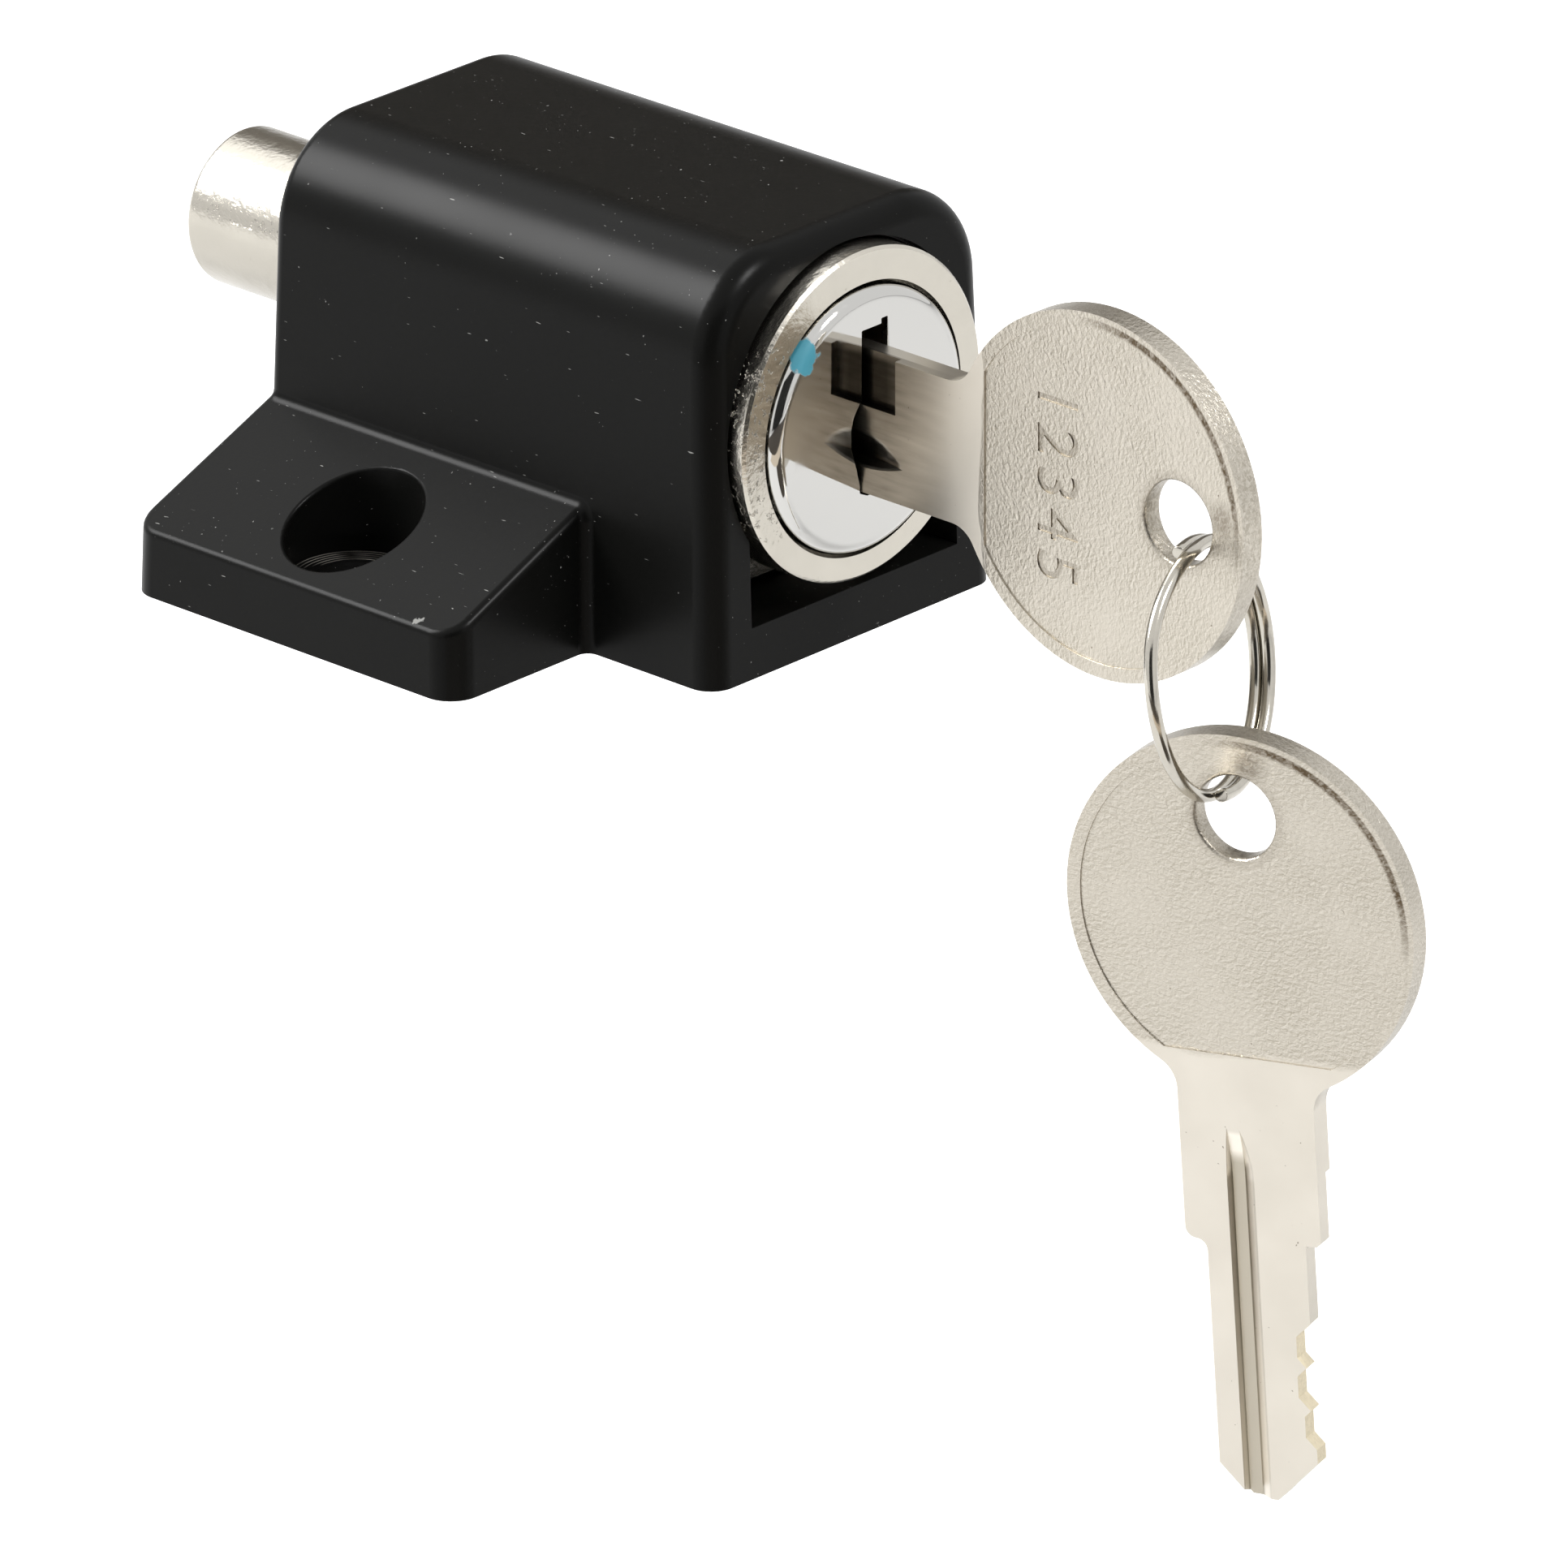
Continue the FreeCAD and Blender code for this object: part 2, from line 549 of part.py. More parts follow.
def plug():
    head = rod_y(PLUG_HEAD_RADIUS, Y_PLUG, Y_HEAD_BACK, 0.0, Z_PLUG)
    body = rod_y(PLUG_RADIUS, Y_PLUG, Y_PLUG_END, 0.0, Z_PLUG)
    pin = rod_y(DRIVE_PIN_RADIUS, Y_PLUG_END - OVER, Y_LUG_END - LUG_GAP, DRIVE_STEP, Z_PLUG + DRIVE_STEP)
    shape = joined([head, body, pin])
    neck = KEY_NECK_HEIGHT / 2.0 + KEYWAY_GAP
    side = KEY_THICKNESS / 2.0 + KEYWAY_GAP
    shape = shape.cut(prism_y(at_axis(mouth_outline()), Y_PLUG - OVER, Y_SHOULDER + KEY_TOP_STEP + KEYWAY_GAP))
    step_end = Y_SHOULDER + KEY_BACK_STEP + (KEY_NECK_HEIGHT / 2.0 - KEY_BLADE_BOTTOM) + KEYWAY_GAP
    shape = shape.cut(box(-side, side, Y_PLUG, step_end, Z_AXIS - neck, Z_AXIS))
    tip = Y_SHOULDER + KEY_BLADE_LENGTH + WARD_GAP
    shape = shape.cut(prism_y(at_axis(keyway_outline()), Y_PLUG, tip))
    groove = PLUG_RADIUS - KEEP_GROOVE_DEPTH
    side = KEEP_PIN_RADIUS + KEEP_GROOVE_SIDE
    core = rod_y(groove, Y_KEEP_PIN - side, Y_KEEP_PIN + side, 0.0, Z_PLUG)
    shape = shape.cut(rod_y(PLUG_RADIUS + OVER, Y_KEEP_PIN - side, Y_KEEP_PIN + side, 0.0, Z_PLUG).cut(core))
    for number in range(WAFER_COUNT):
        y = wafer_y(number)
        deep = WAFER_THICKNESS / 2.0 + WAFER_GAP
        wide = WAFER_HALF_WIDTH + WAFER_GAP
        shape = shape.cut(box(-wide, wide, y - deep, y + deep, Z_AXIS - FAR, Z_AXIS + FAR))
        low = Z_AXIS + WAFER_TAB_LOW - WAFER_DROP - WAFER_GAP
        tab_top = Z_AXIS + WAFER_TAB_LOW + WAFER_TAB_HEIGHT
        shape = shape.cut(box(WAFER_HALF_WIDTH, WAFER_SPRING_X, y - deep, y + deep, low, tab_top + WAFER_GAP))
        pocket_top = tab_top + WAFER_SPRING_LENGTH + WAFER_GAP
        shape = shape.cut(rod_z(WAFER_SPRING_POCKET, low, pocket_top, WAFER_SPRING_X, y))
    return shape


def plug_face_cap():
    shape = rod_y(CAP_RADIUS, Y_CAP, Y_CAP + CAP_RIM_LENGTH, 0.0, Z_PLUG)
    shape = shape.makeFillet(CAP_EDGE_RADIUS, edges_where(shape, lambda p, e: same(p.y, Y_CAP)))
    inside = rod_y(PLUG_HEAD_RADIUS + CAP_FIT, Y_CAP + CAP_FACE, Y_CAP + CAP_RIM_LENGTH + OVER, 0.0, Z_PLUG)
    return shape.cut(inside).cut(prism_y(at_axis(mouth_outline()), Y_CAP - OVER, Y_PLUG))


def wafer(number):
    y = wafer_y(number)
    front = y - WAFER_THICKNESS / 2.0
    back = y + WAFER_THICKNESS / 2.0
    plate = rod_y(WAFER_END_RADIUS, front, back, 0.0, Z_PLUG).common(
        box(-WAFER_HALF_WIDTH, WAFER_HALF_WIDTH, front, back, Z_AXIS - FAR, Z_AXIS + FAR))
    tab_low = Z_AXIS + WAFER_TAB_LOW
    tab = box(0.0, WAFER_TAB_REACH, front, back, tab_low, tab_low + WAFER_TAB_HEIGHT)
    side = KEY_THICKNESS / 2.0 + WINDOW_SIDE_GAP
    window = box(-side, side, front - OVER, back + OVER, Z_AXIS - KEY_BLADE_BOTTOM - WINDOW_END_GAP,
                 Z_AXIS + KEY_BLADE_TOP + WAFER_DROP + WINDOW_END_GAP)
    return plate.fuse(tab).removeSplitter().cut(window)


def wafer_spring(number):
    low = Z_AXIS + WAFER_TAB_LOW + WAFER_TAB_HEIGHT + WAFER_GAP / 2.0 + WAFER_SPRING_WIRE
    length = WAFER_SPRING_LENGTH - 2.0 * WAFER_SPRING_WIRE
    return coil(V(WAFER_SPRING_X, wafer_y(number), low), Z_DIR, X_DIR, WAFER_SPRING_COIL,
                WAFER_SPRING_WIRE, length, WAFER_SPRING_TURNS)


def locking_lug():
    plate = box(-LUG_HALF_WIDTH, LUG_HALF_WIDTH, Y_LUG, Y_LUG_END, LUG_BOTTOM, LUG_BOTTOM + LUG_HEIGHT)
    half = DRIVE_PIN_RADIUS + DRIVE_SLOT_GAP
    z = Z_PLUG + DRIVE_STEP
    slot = box(DRIVE_STEP, DRIVE_RADIUS, Y_LUG - OVER, Y_LUG_END + OVER, z - half, z + half)
    ends = [rod_y(half, Y_LUG - OVER, Y_LUG_END + OVER, x, z) for x in (DRIVE_STEP, DRIVE_RADIUS)]
    return plate.cut(joined([slot] + ends))


# Key in its own frame: the blade runs along +Y from its shoulder at y = 0, cuts up, thickness along X
def key_plate():
    half = KEY_THICKNESS / 2.0
    neck = KEY_NECK_HEIGHT / 2.0
    back = KEY_BLADE_BOTTOM - neck
    step = -back / 2.0
    start = -KEY_BOW_BACK
    shoulder = KEY_BACK_STEP

    def at(y, z):
        return V(-half, y, z)

    def arc(centre_y, centre_z, a, b, radius):
        places = [math.radians(t) for t in (a, (a + b) / 2.0, b)]
        return Part.Arc(*[at(centre_y + radius * math.cos(t), centre_z + radius * math.sin(t))
                          for t in places]).toShape()

    first = arc(shoulder, -neck + step, -90.0, 0.0, step)
    second = arc(shoulder + 2.0 * step, -neck + step, 180.0, 90.0, step)
    corners = [at(shoulder + 2.0 * step, -KEY_BLADE_BOTTOM),
               at(KEY_BLADE_LENGTH - (KEY_TIP_BOTTOM + KEY_BLADE_BOTTOM), -KEY_BLADE_BOTTOM),
               at(KEY_BLADE_LENGTH, KEY_TIP_BOTTOM), at(KEY_BLADE_LENGTH, KEY_TIP_TOP),
               at(KEY_BLADE_LENGTH - (KEY_BLADE_TOP - KEY_TIP_TOP), KEY_BLADE_TOP),
               at(KEY_TOP_STEP, KEY_BLADE_TOP), at(KEY_TOP_STEP, neck - KEY_NECK_CORNER),
               at(KEY_TOP_STEP - KEY_NECK_CORNER, neck), at(start, neck),
               at(start, -neck), at(shoulder, -neck)]
    lines = [Part.LineSegment(a, b).toShape() for a, b in zip(corners[:-1], corners[1:])]
    blade = Part.Face(Part.Wire([first, second] + lines)).extrude(V(KEY_THICKNESS, 0, 0))
    bow = Part.makeCylinder(KEY_BOW_RADIUS, KEY_THICKNESS, V(-half, start, KEY_BOW_RISE), X_DIR)
    plate = joined([blade, bow])
    waist = edges_where(plate, lambda p, e: same(p.x, 0.0) and same(abs(p.z), neck) and p.y < -KEY_NECK_FILLET)
    return plate.makeFillet(KEY_NECK_FILLET, waist)


def groove_tool(section, run, side):
    surface = side * KEY_THICKNESS / 2.0
    floor = surface - side * GROOVE_DEPTH
    over = surface + side * OVER
    slope_low = (section[1] - section[0]) / GROOVE_DEPTH
    slope_high = (section[3] - section[2]) / GROOVE_DEPTH
    outline = [(over, section[0] - slope_low * OVER), (floor, section[1]), (floor, section[2]),
               (over, section[3] + slope_high * OVER)]
    straight = prism_y(outline, -run, KEY_BLADE_LENGTH + OVER)
    face = polygon([V(x, -run, z) for x, z in outline])
    centre = V(floor + side * CUTTER_RADIUS, -run, 0.0)
    return straight.fuse(face.revolve(centre, Z_DIR, side * CUTTER_RUN_OUT_DEG))


def key():
    shape = key_plate()
    neck = KEY_NECK_HEIGHT / 2.0
    half = KEY_THICKNESS / 2.0
    for number, depth in enumerate(KEY_CUTS):
        if depth > 0.0:
            y = WAFER_FIRST + WAFER_PITCH * number
            floor = KEY_BLADE_TOP - depth
            reach = KEY_CUT_FLOOR / 2.0
            rise = depth + OVER
            notch = [(y - reach - rise, floor + rise), (y - reach, floor), (y + reach, floor),
                     (y + reach + rise, floor + rise)]
            shape = shape.cut(prism_x(notch, -half - OVER, half + OVER))
    shape = shape.cut(box(-half - OVER, -half + RABBET_DEPTH, -RABBET_RUN, KEY_BLADE_LENGTH + OVER,
                          RABBET_FLOOR, neck + OVER))
    shape = shape.cut(groove_tool(LEFT_GROOVE, LEFT_GROOVE_RUN, -1))
    shape = shape.cut(groove_tool(RIGHT_GROOVE, RIGHT_GROOVE_RUN, 1))
    shape = shape.cut(Part.makeCylinder(KEY_HOLE_RADIUS, 2.0 * KEY_THICKNESS,
                                        V(-KEY_THICKNESS, -KEY_HOLE_BACK, KEY_BOW_RISE), X_DIR))
    reach = KEY_BOW_RADIUS - KEY_RIM_WIDTH
    bow_side = box(-FAR, FAR, -FAR, -KEY_COIN_END, -FAR, FAR)
    for x in (-half - OVER, half - KEY_COIN_DEPTH):
        disc = Part.makeCylinder(reach, OVER + KEY_COIN_DEPTH, V(x, -KEY_BOW_BACK, KEY_BOW_RISE), X_DIR)
        shape = shape.cut(disc.common(bow_side))
    return shape


def working_key():
    shape = key()
    shape.translate(V(0.0, Y_SHOULDER, Z_AXIS))
    return shape


# Split ring through the bow of the working key, and the spare key that hangs on it
def ring_point(degrees):
    a = math.radians(degrees)
    crossing = (degrees - RING_CROSS_FIRST_DEG) / (RING_CROSS_LAST_DEG - RING_CROSS_FIRST_DEG)
    off = -RING_SPREAD * math.cos(math.pi * min(1.0, max(0.0, crossing)))
    across = RING_E * (RING_COIL_RADIUS * math.cos(a)) + RING_UP * (RING_COIL_RADIUS * math.sin(a))
    return RING_CENTRE + across + RING_N * off


def split_ring():
    values = steps(-RING_START_DEG, RING_CROSS_FIRST_DEG, 4)
    values += steps(RING_CROSS_FIRST_DEG, RING_CROSS_LAST_DEG, 6)[1:]
    values += steps(RING_CROSS_LAST_DEG, 360.0 + RING_END_DEG, 6)[1:]
    return tube(ring_point, values, RING_WIRE_RADIUS)


def spare_key():
    shape = key()
    tilt = math.radians(SPARE_TILT_DEG)
    forward = V(math.cos(math.radians(SPARE_TURN_DEG)), math.sin(math.radians(SPARE_TURN_DEG)), 0.0)
    blade = forward * math.sin(tilt) - Z_DIR * math.cos(tilt)
    cuts = forward * math.cos(tilt) + Z_DIR * math.sin(tilt)
    face = blade.cross(cuts)
    turn = FreeCAD.Matrix(face.x, blade.x, cuts.x, 0.0, face.y, blade.y, cuts.y, 0.0,
                          face.z, blade.z, cuts.z, 0.0, 0.0, 0.0, 0.0, 1.0)
    shape.translate(V(0.0, KEY_HOLE_BACK, -KEY_BOW_RISE))
    shape.Placement = FreeCAD.Placement(turn).multiply(shape.Placement)
    shape.translate(RING_CENTRE + V(SPARE_SIDE, -SPARE_OUT, -SPARE_DOWN))
    return shape


def return_spring_size():
    start = Y_BARREL_END + SPRING_END_GAP + SPRING_WIRE_RADIUS
    length = Y_WALL - SPRING_END_GAP - SPRING_WIRE_RADIUS - start
    return V(0.0, start, Z_AXIS), Y_DIR, X_DIR, SPRING_COIL_RADIUS, SPRING_WIRE_RADIUS, length, SPRING_TURNS


def main():
    nodes = {
        "housing": housing(),
        "stop_pin": rod_z(STOP_PIN_RADIUS, STOP_PIN_SUNK, FLOOR + STOP_PIN_REACH, STOP_PIN_X, Y_STOP),
        "return_spring": coil(*return_spring_size()),
        "barrel": barrel(),
        "bolt": bolt(),
        "bolt_cross_pin": rod_x(CROSS_PIN_RADIUS, CROSS_PIN_LENGTH, Y_CROSS_PIN, Z_AXIS),
        "plug": plug(),
        "plug_face_cap": plug_face_cap(),
        "plug_keeper_pin": rod_x(KEEP_PIN_RADIUS, KEEP_PIN_LENGTH, Y_KEEP_PIN, Z_KEEP_PIN),
        "locking_lug": locking_lug(),
        "working_key": working_key(),
        "split_ring": split_ring(),
        "spare_key": spare_key(),
    }
    for number in range(WAFER_COUNT):
        nodes["wafer_%d" % (number + 1)] = wafer(number)
        nodes["wafer_spring_%d" % (number + 1)] = wafer_spring(number)
    os.makedirs("parts", exist_ok=True)
    for name, shape in nodes.items():
        b = shape.BoundBox
        print("%-16s solids %d valid %s volume %8.2f  x %6.2f %6.2f  y %6.2f %6.2f  z %6.2f %6.2f" % (
            name, len(shape.Solids), shape.isValid(), shape.Volume, b.XMin, b.XMax, b.YMin, b.YMax, b.ZMin, b.ZMax))
        shape.exportStep("parts/%s.step" % name)
    print("return spring least gap %.2f mm" % coil_gap(*return_spring_size()))
    print("split ring turns apart %.2f mm" % (2.0 * RING_SPREAD - 2.0 * RING_WIRE_RADIUS))


main()
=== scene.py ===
import math

import bpy
from bpy.props import FloatProperty, FloatVectorProperty, PointerProperty
from mathutils import Matrix, Vector


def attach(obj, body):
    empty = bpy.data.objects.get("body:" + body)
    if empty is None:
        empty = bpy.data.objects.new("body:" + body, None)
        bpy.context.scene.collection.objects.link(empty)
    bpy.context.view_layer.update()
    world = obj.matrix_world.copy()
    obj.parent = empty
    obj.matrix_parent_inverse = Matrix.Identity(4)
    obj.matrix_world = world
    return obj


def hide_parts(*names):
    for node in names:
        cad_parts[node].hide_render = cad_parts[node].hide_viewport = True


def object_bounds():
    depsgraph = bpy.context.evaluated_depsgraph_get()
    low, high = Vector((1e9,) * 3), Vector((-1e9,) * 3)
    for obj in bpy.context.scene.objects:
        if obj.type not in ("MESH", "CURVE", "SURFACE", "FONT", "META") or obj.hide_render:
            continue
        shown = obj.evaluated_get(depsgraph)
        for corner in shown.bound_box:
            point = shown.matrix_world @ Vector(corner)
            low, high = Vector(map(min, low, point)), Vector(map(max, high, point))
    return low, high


bl_info = {
    "name": "Sliding door lock",
    "version": (1, 0, 0),
    "blender": (4, 5, 0),
    "location": "View3D > Sidebar > Door lock",
    "description": "Dresses a surface mounted sliding door lock with its two keys on a split ring",
    "category": "Object",
}

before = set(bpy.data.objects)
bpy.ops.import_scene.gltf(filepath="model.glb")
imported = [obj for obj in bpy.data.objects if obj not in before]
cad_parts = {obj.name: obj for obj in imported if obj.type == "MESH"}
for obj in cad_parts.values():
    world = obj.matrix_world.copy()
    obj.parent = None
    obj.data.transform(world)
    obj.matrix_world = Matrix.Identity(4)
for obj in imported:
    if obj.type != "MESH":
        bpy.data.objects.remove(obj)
cad_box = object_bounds()

MM = 0.001

UP = Vector((0.0, 0.0, 1.0))
WHITE = (1.0, 1.0, 1.0, 1.0)
PAPER = (0.8, 0.8, 0.8, 1.0)
WAFERS = 5
# Points of a mesh that lie closer than this are one
MERGE_DISTANCE = 0.0005 * MM

# Places in metres, turns in radians
AXIS_HEIGHT = 14.7 * MM
KEY_HOLE = Vector((0.0, -50.994, 15.0)) * MM
SPARE_HOLE = Vector((-0.4, -55.844, -2.5)) * MM
SPARE_TURN = math.radians(-75.4)
SPARE_TILT = math.radians(3.8)
HOLE_BACK = 26.98 * MM
HOLE_RADIUS = 2.65 * MM
# How far a point of the hole's rim may lie from its radius, and two points of one rim across the key
HOLE_SLACK = 0.03 * MM
SAME_FACE = 0.1 * MM
BOW_BACK = 20.65 * MM
BOW_RISE = 0.3 * MM
# The smudge's place, seen from the hole in the bow
SMUDGE_BACK = 3.5 * MM
SMUDGE_RISE = 1.1 * MM
# The way from the bow's middle to the quarter where its rim step gets a painted shade line
STEP_SHADE_WAY = (0.0, -0.71, 0.71)
CUTS_START = 3.0 * MM
CUTS_LOW = 2.2 * MM
DIGITS_PLACE = Vector((-0.75, -41.4, 14.57)) * MM
DIGITS_BOX = ((-0.62 * MM, -17.39 * MM, -0.13 * MM), (0.1 * MM, 1.8 * MM, 6.1 * MM))
SCREW_X = 18.75 * MM
SCREW_SEAT = 2.9 * MM
LINT_PLACE = (-23.45 * MM, -9.95 * MM, 5.0 * MM)
DAB_PLACE = (-4.85 * MM, -24.5 * MM, 21.05 * MM)
RING_WEAR_PLACE = (-8.5 * MM, -25.0 * MM, 15.0 * MM)
BOLT_WEAR_PLACE = (-5.5 * MM, 21.0 * MM, 16.5 * MM)
# Slope of the face cap's slight dome for each metre from its axis, halved
CAP_DOME = 3.5

# The split ring: its middle, how it stands, and its sweep and the crossing between its turns in degrees
RING_CENTRE = Vector((-0.3, -53.294, 6.2)) * MM
RING_TURN = math.radians(19.3)
RING_LEAN = math.radians(10.2)
RING_START = -108
RING_END = 456
RING_STEP = 6
CROSSING_START = 85.0
CROSSING_SWEEP = 70.0
# How far a turn of the wire lies from the ring's middle plane, in wire radii
RING_SPREAD = 1.02
WIRE_END_ROUND = 0.12 * MM

# From one ring of the cutter to the next on a screw seat, in millimetres
SEAT_PITCH = 0.31

# Where a finish starts to show and where it shows in full, in millimetres
LINT_EDGE = (0.3, 0.22)
SEAT_EDGE = (4.25, 4.1)
SEAT_LEVEL = (0.3, 0.1)
DAB_EDGE = (1.1, 0.95)
# A finish on a key: across its thickness, from its middle
UNDER_FACE = (0.8, 0.72)
RIM_WALL = (0.82, 0.7)
GROOVE_FLOOR = (0.5, 0.4)
LEFT_SIDE = (-0.1, -0.2)
# Along the key, from its shoulder
BOW_GRAIN = (-10.5, -10.9)
GROOVE_END = (-9.0, -8.9)
NECK_REFLECTION_ALONG = (-9.0, -3.5)
NECK_BACK = (-7.0, -3.0)
NECK_FRONT = (2.5, 0.2)
# Over the key's height
GROOVE_LOW = (-3.05, -3.0)
GROOVE_HIGH = (0.5, 0.4)
NECK_TOP = (4.8, 4.0)
# Away from the middle of the bow, towards the quarter of its painted shade line, from its hole, the smudge
# and the digits
STEP_INSIDE = (10.75, 10.95)
STEP_OUTSIDE = (11.35, 11.25)
RIM_WEAR = (11.4, 11.6)
STEP_SHADE_QUARTER = (6.5, 9.5)
HOLE_WEAR = (3.5, 2.7)
SMUDGE_EDGE = (1.5, 0.4)
DIGITS_EDGE = (0.01, 0.0)

# The keys: node, piece, plate, and its share of the neck's painted reflection and painted shade
KEYS = (("working_key", "working_key_blank", "nickel_plated_key", 1.0),
        ("spare_key", "spare_key_blank", "nickel_plated_spare_key", 0.0))

# The studio: lamps with the way to them, distance, side in metres and power
LAMPS = (("top_softbox", (-0.42, 0.63, 0.65), 1.5, 0.75, 30.0),
         ("front_softbox", (0.156, -0.632, 0.757), 1.8, 0.4, 16.0),
         ("back_softbox", (0.155, 0.628, 0.759), 2.0, 0.8, 2.6))
# Cards on the floor: how far ahead of the lock and beside it, width, height and paint
FLOOR_CARDS = (("near_card_on_floor", 0.1225, 0.105, 0.115, 0.075, "umber_card"),
               ("middle_card_on_floor", 0.1925, 0.13, 0.38, 0.065, "brown_card"),
               ("far_card_on_floor", 1.1325, 0.0, 0.8, 1.815, "umber_card"))
CARD_PAINTS = {"black_card": (0.02, 0.02, 0.02, 1.0), "grey_card": (0.2, 0.18, 0.155, 1.0),
               "brown_card": (0.66, 0.57, 0.46, 1.0), "umber_card": (0.045, 0.036, 0.028, 1.0)}
FLOOR_SIZE = 6.0
FLOOR_CARD_RISE = 1.0 * MM
WORLD_LIGHT = 0.3
# Added light of the floor as the camera sees it and as metal mirrors it
FLOOR_LIFT = 0.55
FLOOR_GLOSSY_LIFT = 0.12

# The photograph's view: turn, tilt and roll, with the focal length, the picture's size and the aim's place
# in it in pixels, the sensor in millimetres, and the distance, the aim and the clipping range in metres
VIEW_TURN = math.radians(-46.97)
VIEW_TILT = math.radians(23.01)
VIEW_ROLL = math.radians(-0.22)
VIEW_FOCAL = 21042.0
VIEW_SIZE = 1932.0
VIEW_SENSOR = 36.0
VIEW_DISTANCE = 1.0521
VIEW_AIM = Vector((0.0, -0.0052, 0.0))
VIEW_SHIFT = (775.3, 685.81)
VIEW_CLIP = (0.05, 20.0)


def linear(hex_colour):
    """An sRGB hex colour as a linear one."""
    parts = [int(hex_colour[i:i + 2], 16) / 255.0 for i in (1, 3, 5)]
    return tuple(p / 12.92 if p <= 0.04045 else ((p + 0.055) / 1.055) ** 2.4 for p in parts)


class LockSizes(bpy.types.PropertyGroup):
    """Sizes of the finish that the frame leaves open."""
    cast_edge: FloatProperty(name="Cast edge", description="Rounding of the casting's small edges",
                             default=0.24 * MM, min=0.0, unit="LENGTH")
    plate_edge: FloatProperty(name="Key edge", description="Rounding that tumbling leaves on a key's edges",
                              default=0.09 * MM, min=0.0, unit="LENGTH")
    ring_edge: FloatProperty(name="Barrel edge", description="Rounding of the barrel ring's edges",
                             default=0.07 * MM, min=0.0, unit="LENGTH")
    cap_edge: FloatProperty(name="Cap edge", description="Rounding of the edges of the mouth in the face cap",
                            default=0.06 * MM, min=0.0, unit="LENGTH")
    wire_radius: FloatProperty(name="Ring wire radius", description="Radius of the split ring's wire",
                               default=0.42 * MM, min=0.0, unit="LENGTH")
    coil_radius: FloatProperty(name="Ring radius",
                               description="Radius of the split ring at the wire's middle",
                               default=7.65 * MM, min=0.0, unit="LENGTH")
    digit_height: FloatProperty(name="Digit height", description="Height of the digits stamped in the key",
                                default=3.3 * MM, min=0.0, unit="LENGTH")
    digit_row: FloatProperty(name="Digit row", description="Length of the row of digits",
                             default=11.8 * MM, min=0.0, unit="LENGTH")
    digit_depth: FloatProperty(name="Digit depth", description="Depth of the digits stamped in the key",
                               default=0.08 * MM, min=0.0, unit="LENGTH")
    hole_edge: FloatProperty(name="Key hole edge", description="Rounding of the hole in a key's bow",
                             default=0.28 * MM, min=0.0, unit="LENGTH")
    floor_drop: FloatProperty(name="Floor drop", description="Room between the lowest point and the floor",
                              default=12.0 * MM, min=0.0, unit="LENGTH")


class LockColours(bpy.types.PropertyGroup):
    """Colours of the finishes."""
    coat: FloatVectorProperty(name="Coat", description="Satin black coating of the casting",
                              subtype="COLOR", size=3, default=linear("#0c0c0b"))
    dust: FloatVectorProperty(name="Dust", description="Specks of dust and tiny scratches on the coating",
                              subtype="COLOR", size=3, default=linear("#8d8d8a"))
    nickel: FloatVectorProperty(name="Nickel", description="Warm nickel plate of the barrel and the bolt",
                                subtype="COLOR", size=3, default=linear("#d2cdc2"))
    key_nickel: FloatVectorProperty(name="Key nickel", description="Nickel plate of the keys",
                                    subtype="COLOR", size=3, default=linear("#dad4c9"))
    # Key shade is also the painted shade on the grain's strokes and on the grooves' floor
    key_shade: FloatVectorProperty(name="Key shade", description="Darker grain of the keys' plate",
                                   subtype="COLOR", size=3, default=linear("#a9a294"))
    # This brown is real tarnish on pits and rubbed places, and also the painted shade of the step line and
    # digits and the neck's painted reflection
    tarnish_and_shade: FloatVectorProperty(name="Tarnish", description="Brown tarnish where metal rubs on metal",
                                 subtype="COLOR", size=3, default=linear("#5c4f3e"))
    chrome: FloatVectorProperty(name="Chrome", description="Bright chrome of the plug's face",
                                subtype="COLOR", size=3, default=linear("#c9c8c5"))
    dab: FloatVectorProperty(name="Paint dab", description="Dab of blue paint on the rim of the plug's face",
                             subtype="COLOR", size=3, default=linear("#4f9fb3"))
    bare: FloatVectorProperty(name="Bare cuts", description="Pale bare brass of the key's cuts",
                              subtype="COLOR", size=3, default=linear("#eee2c6"))
    brass: FloatVectorProperty(name="Brass", description="Stamped brass of the wafers",
                               subtype="COLOR", size=3, default=linear("#d8c08a"))
    # Painted shade: a dark brown that stands in for the deep shade inside the keyway, on the plug and in the
    # working key's grooves
    shade_brass: FloatVectorProperty(name="Greased brass", description="Brass of the plug under old dark grease",
                                 subtype="COLOR", size=3, default=linear("#3e3528"))
    steel: FloatVectorProperty(name="Steel", description="Pins, lug and springs",
                               subtype="COLOR", size=3, default=linear("#a6a5a1"))


# Materials
def feed(tree, node, inputs):
    """Puts a value or a link in each named input of a node."""
    for name, value in inputs.items():
        if isinstance(value, bpy.types.NodeSocket):
            tree.links.new(value, node.inputs[name])
        else:
            node.inputs[name].default_value = value


def add(tree, kind, inputs=None, **settings):
    """Adds a node with its settings and with values or links in its inputs."""
    made = tree.nodes.new("ShaderNode" + kind)
    for name, value in settings.items():
        setattr(made, name, value)
    feed(tree, made, inputs or {})
    return made


def per(size_mm):
    """The scale at which a pattern repeats about every size_mm millimetres."""
    return 1.0 / (size_mm * MM)


def tint(colour, share=1.0):
    """A colour made lighter or darker by a share, with its alpha."""
    return (colour[0] * share, colour[1] * share, colour[2] * share, 1.0)


def maths(tree, operation, *values):
    """The result of one step of reckoning on numbers."""
    return add(tree, "Math", dict(enumerate(values)), operation=operation).outputs[0]


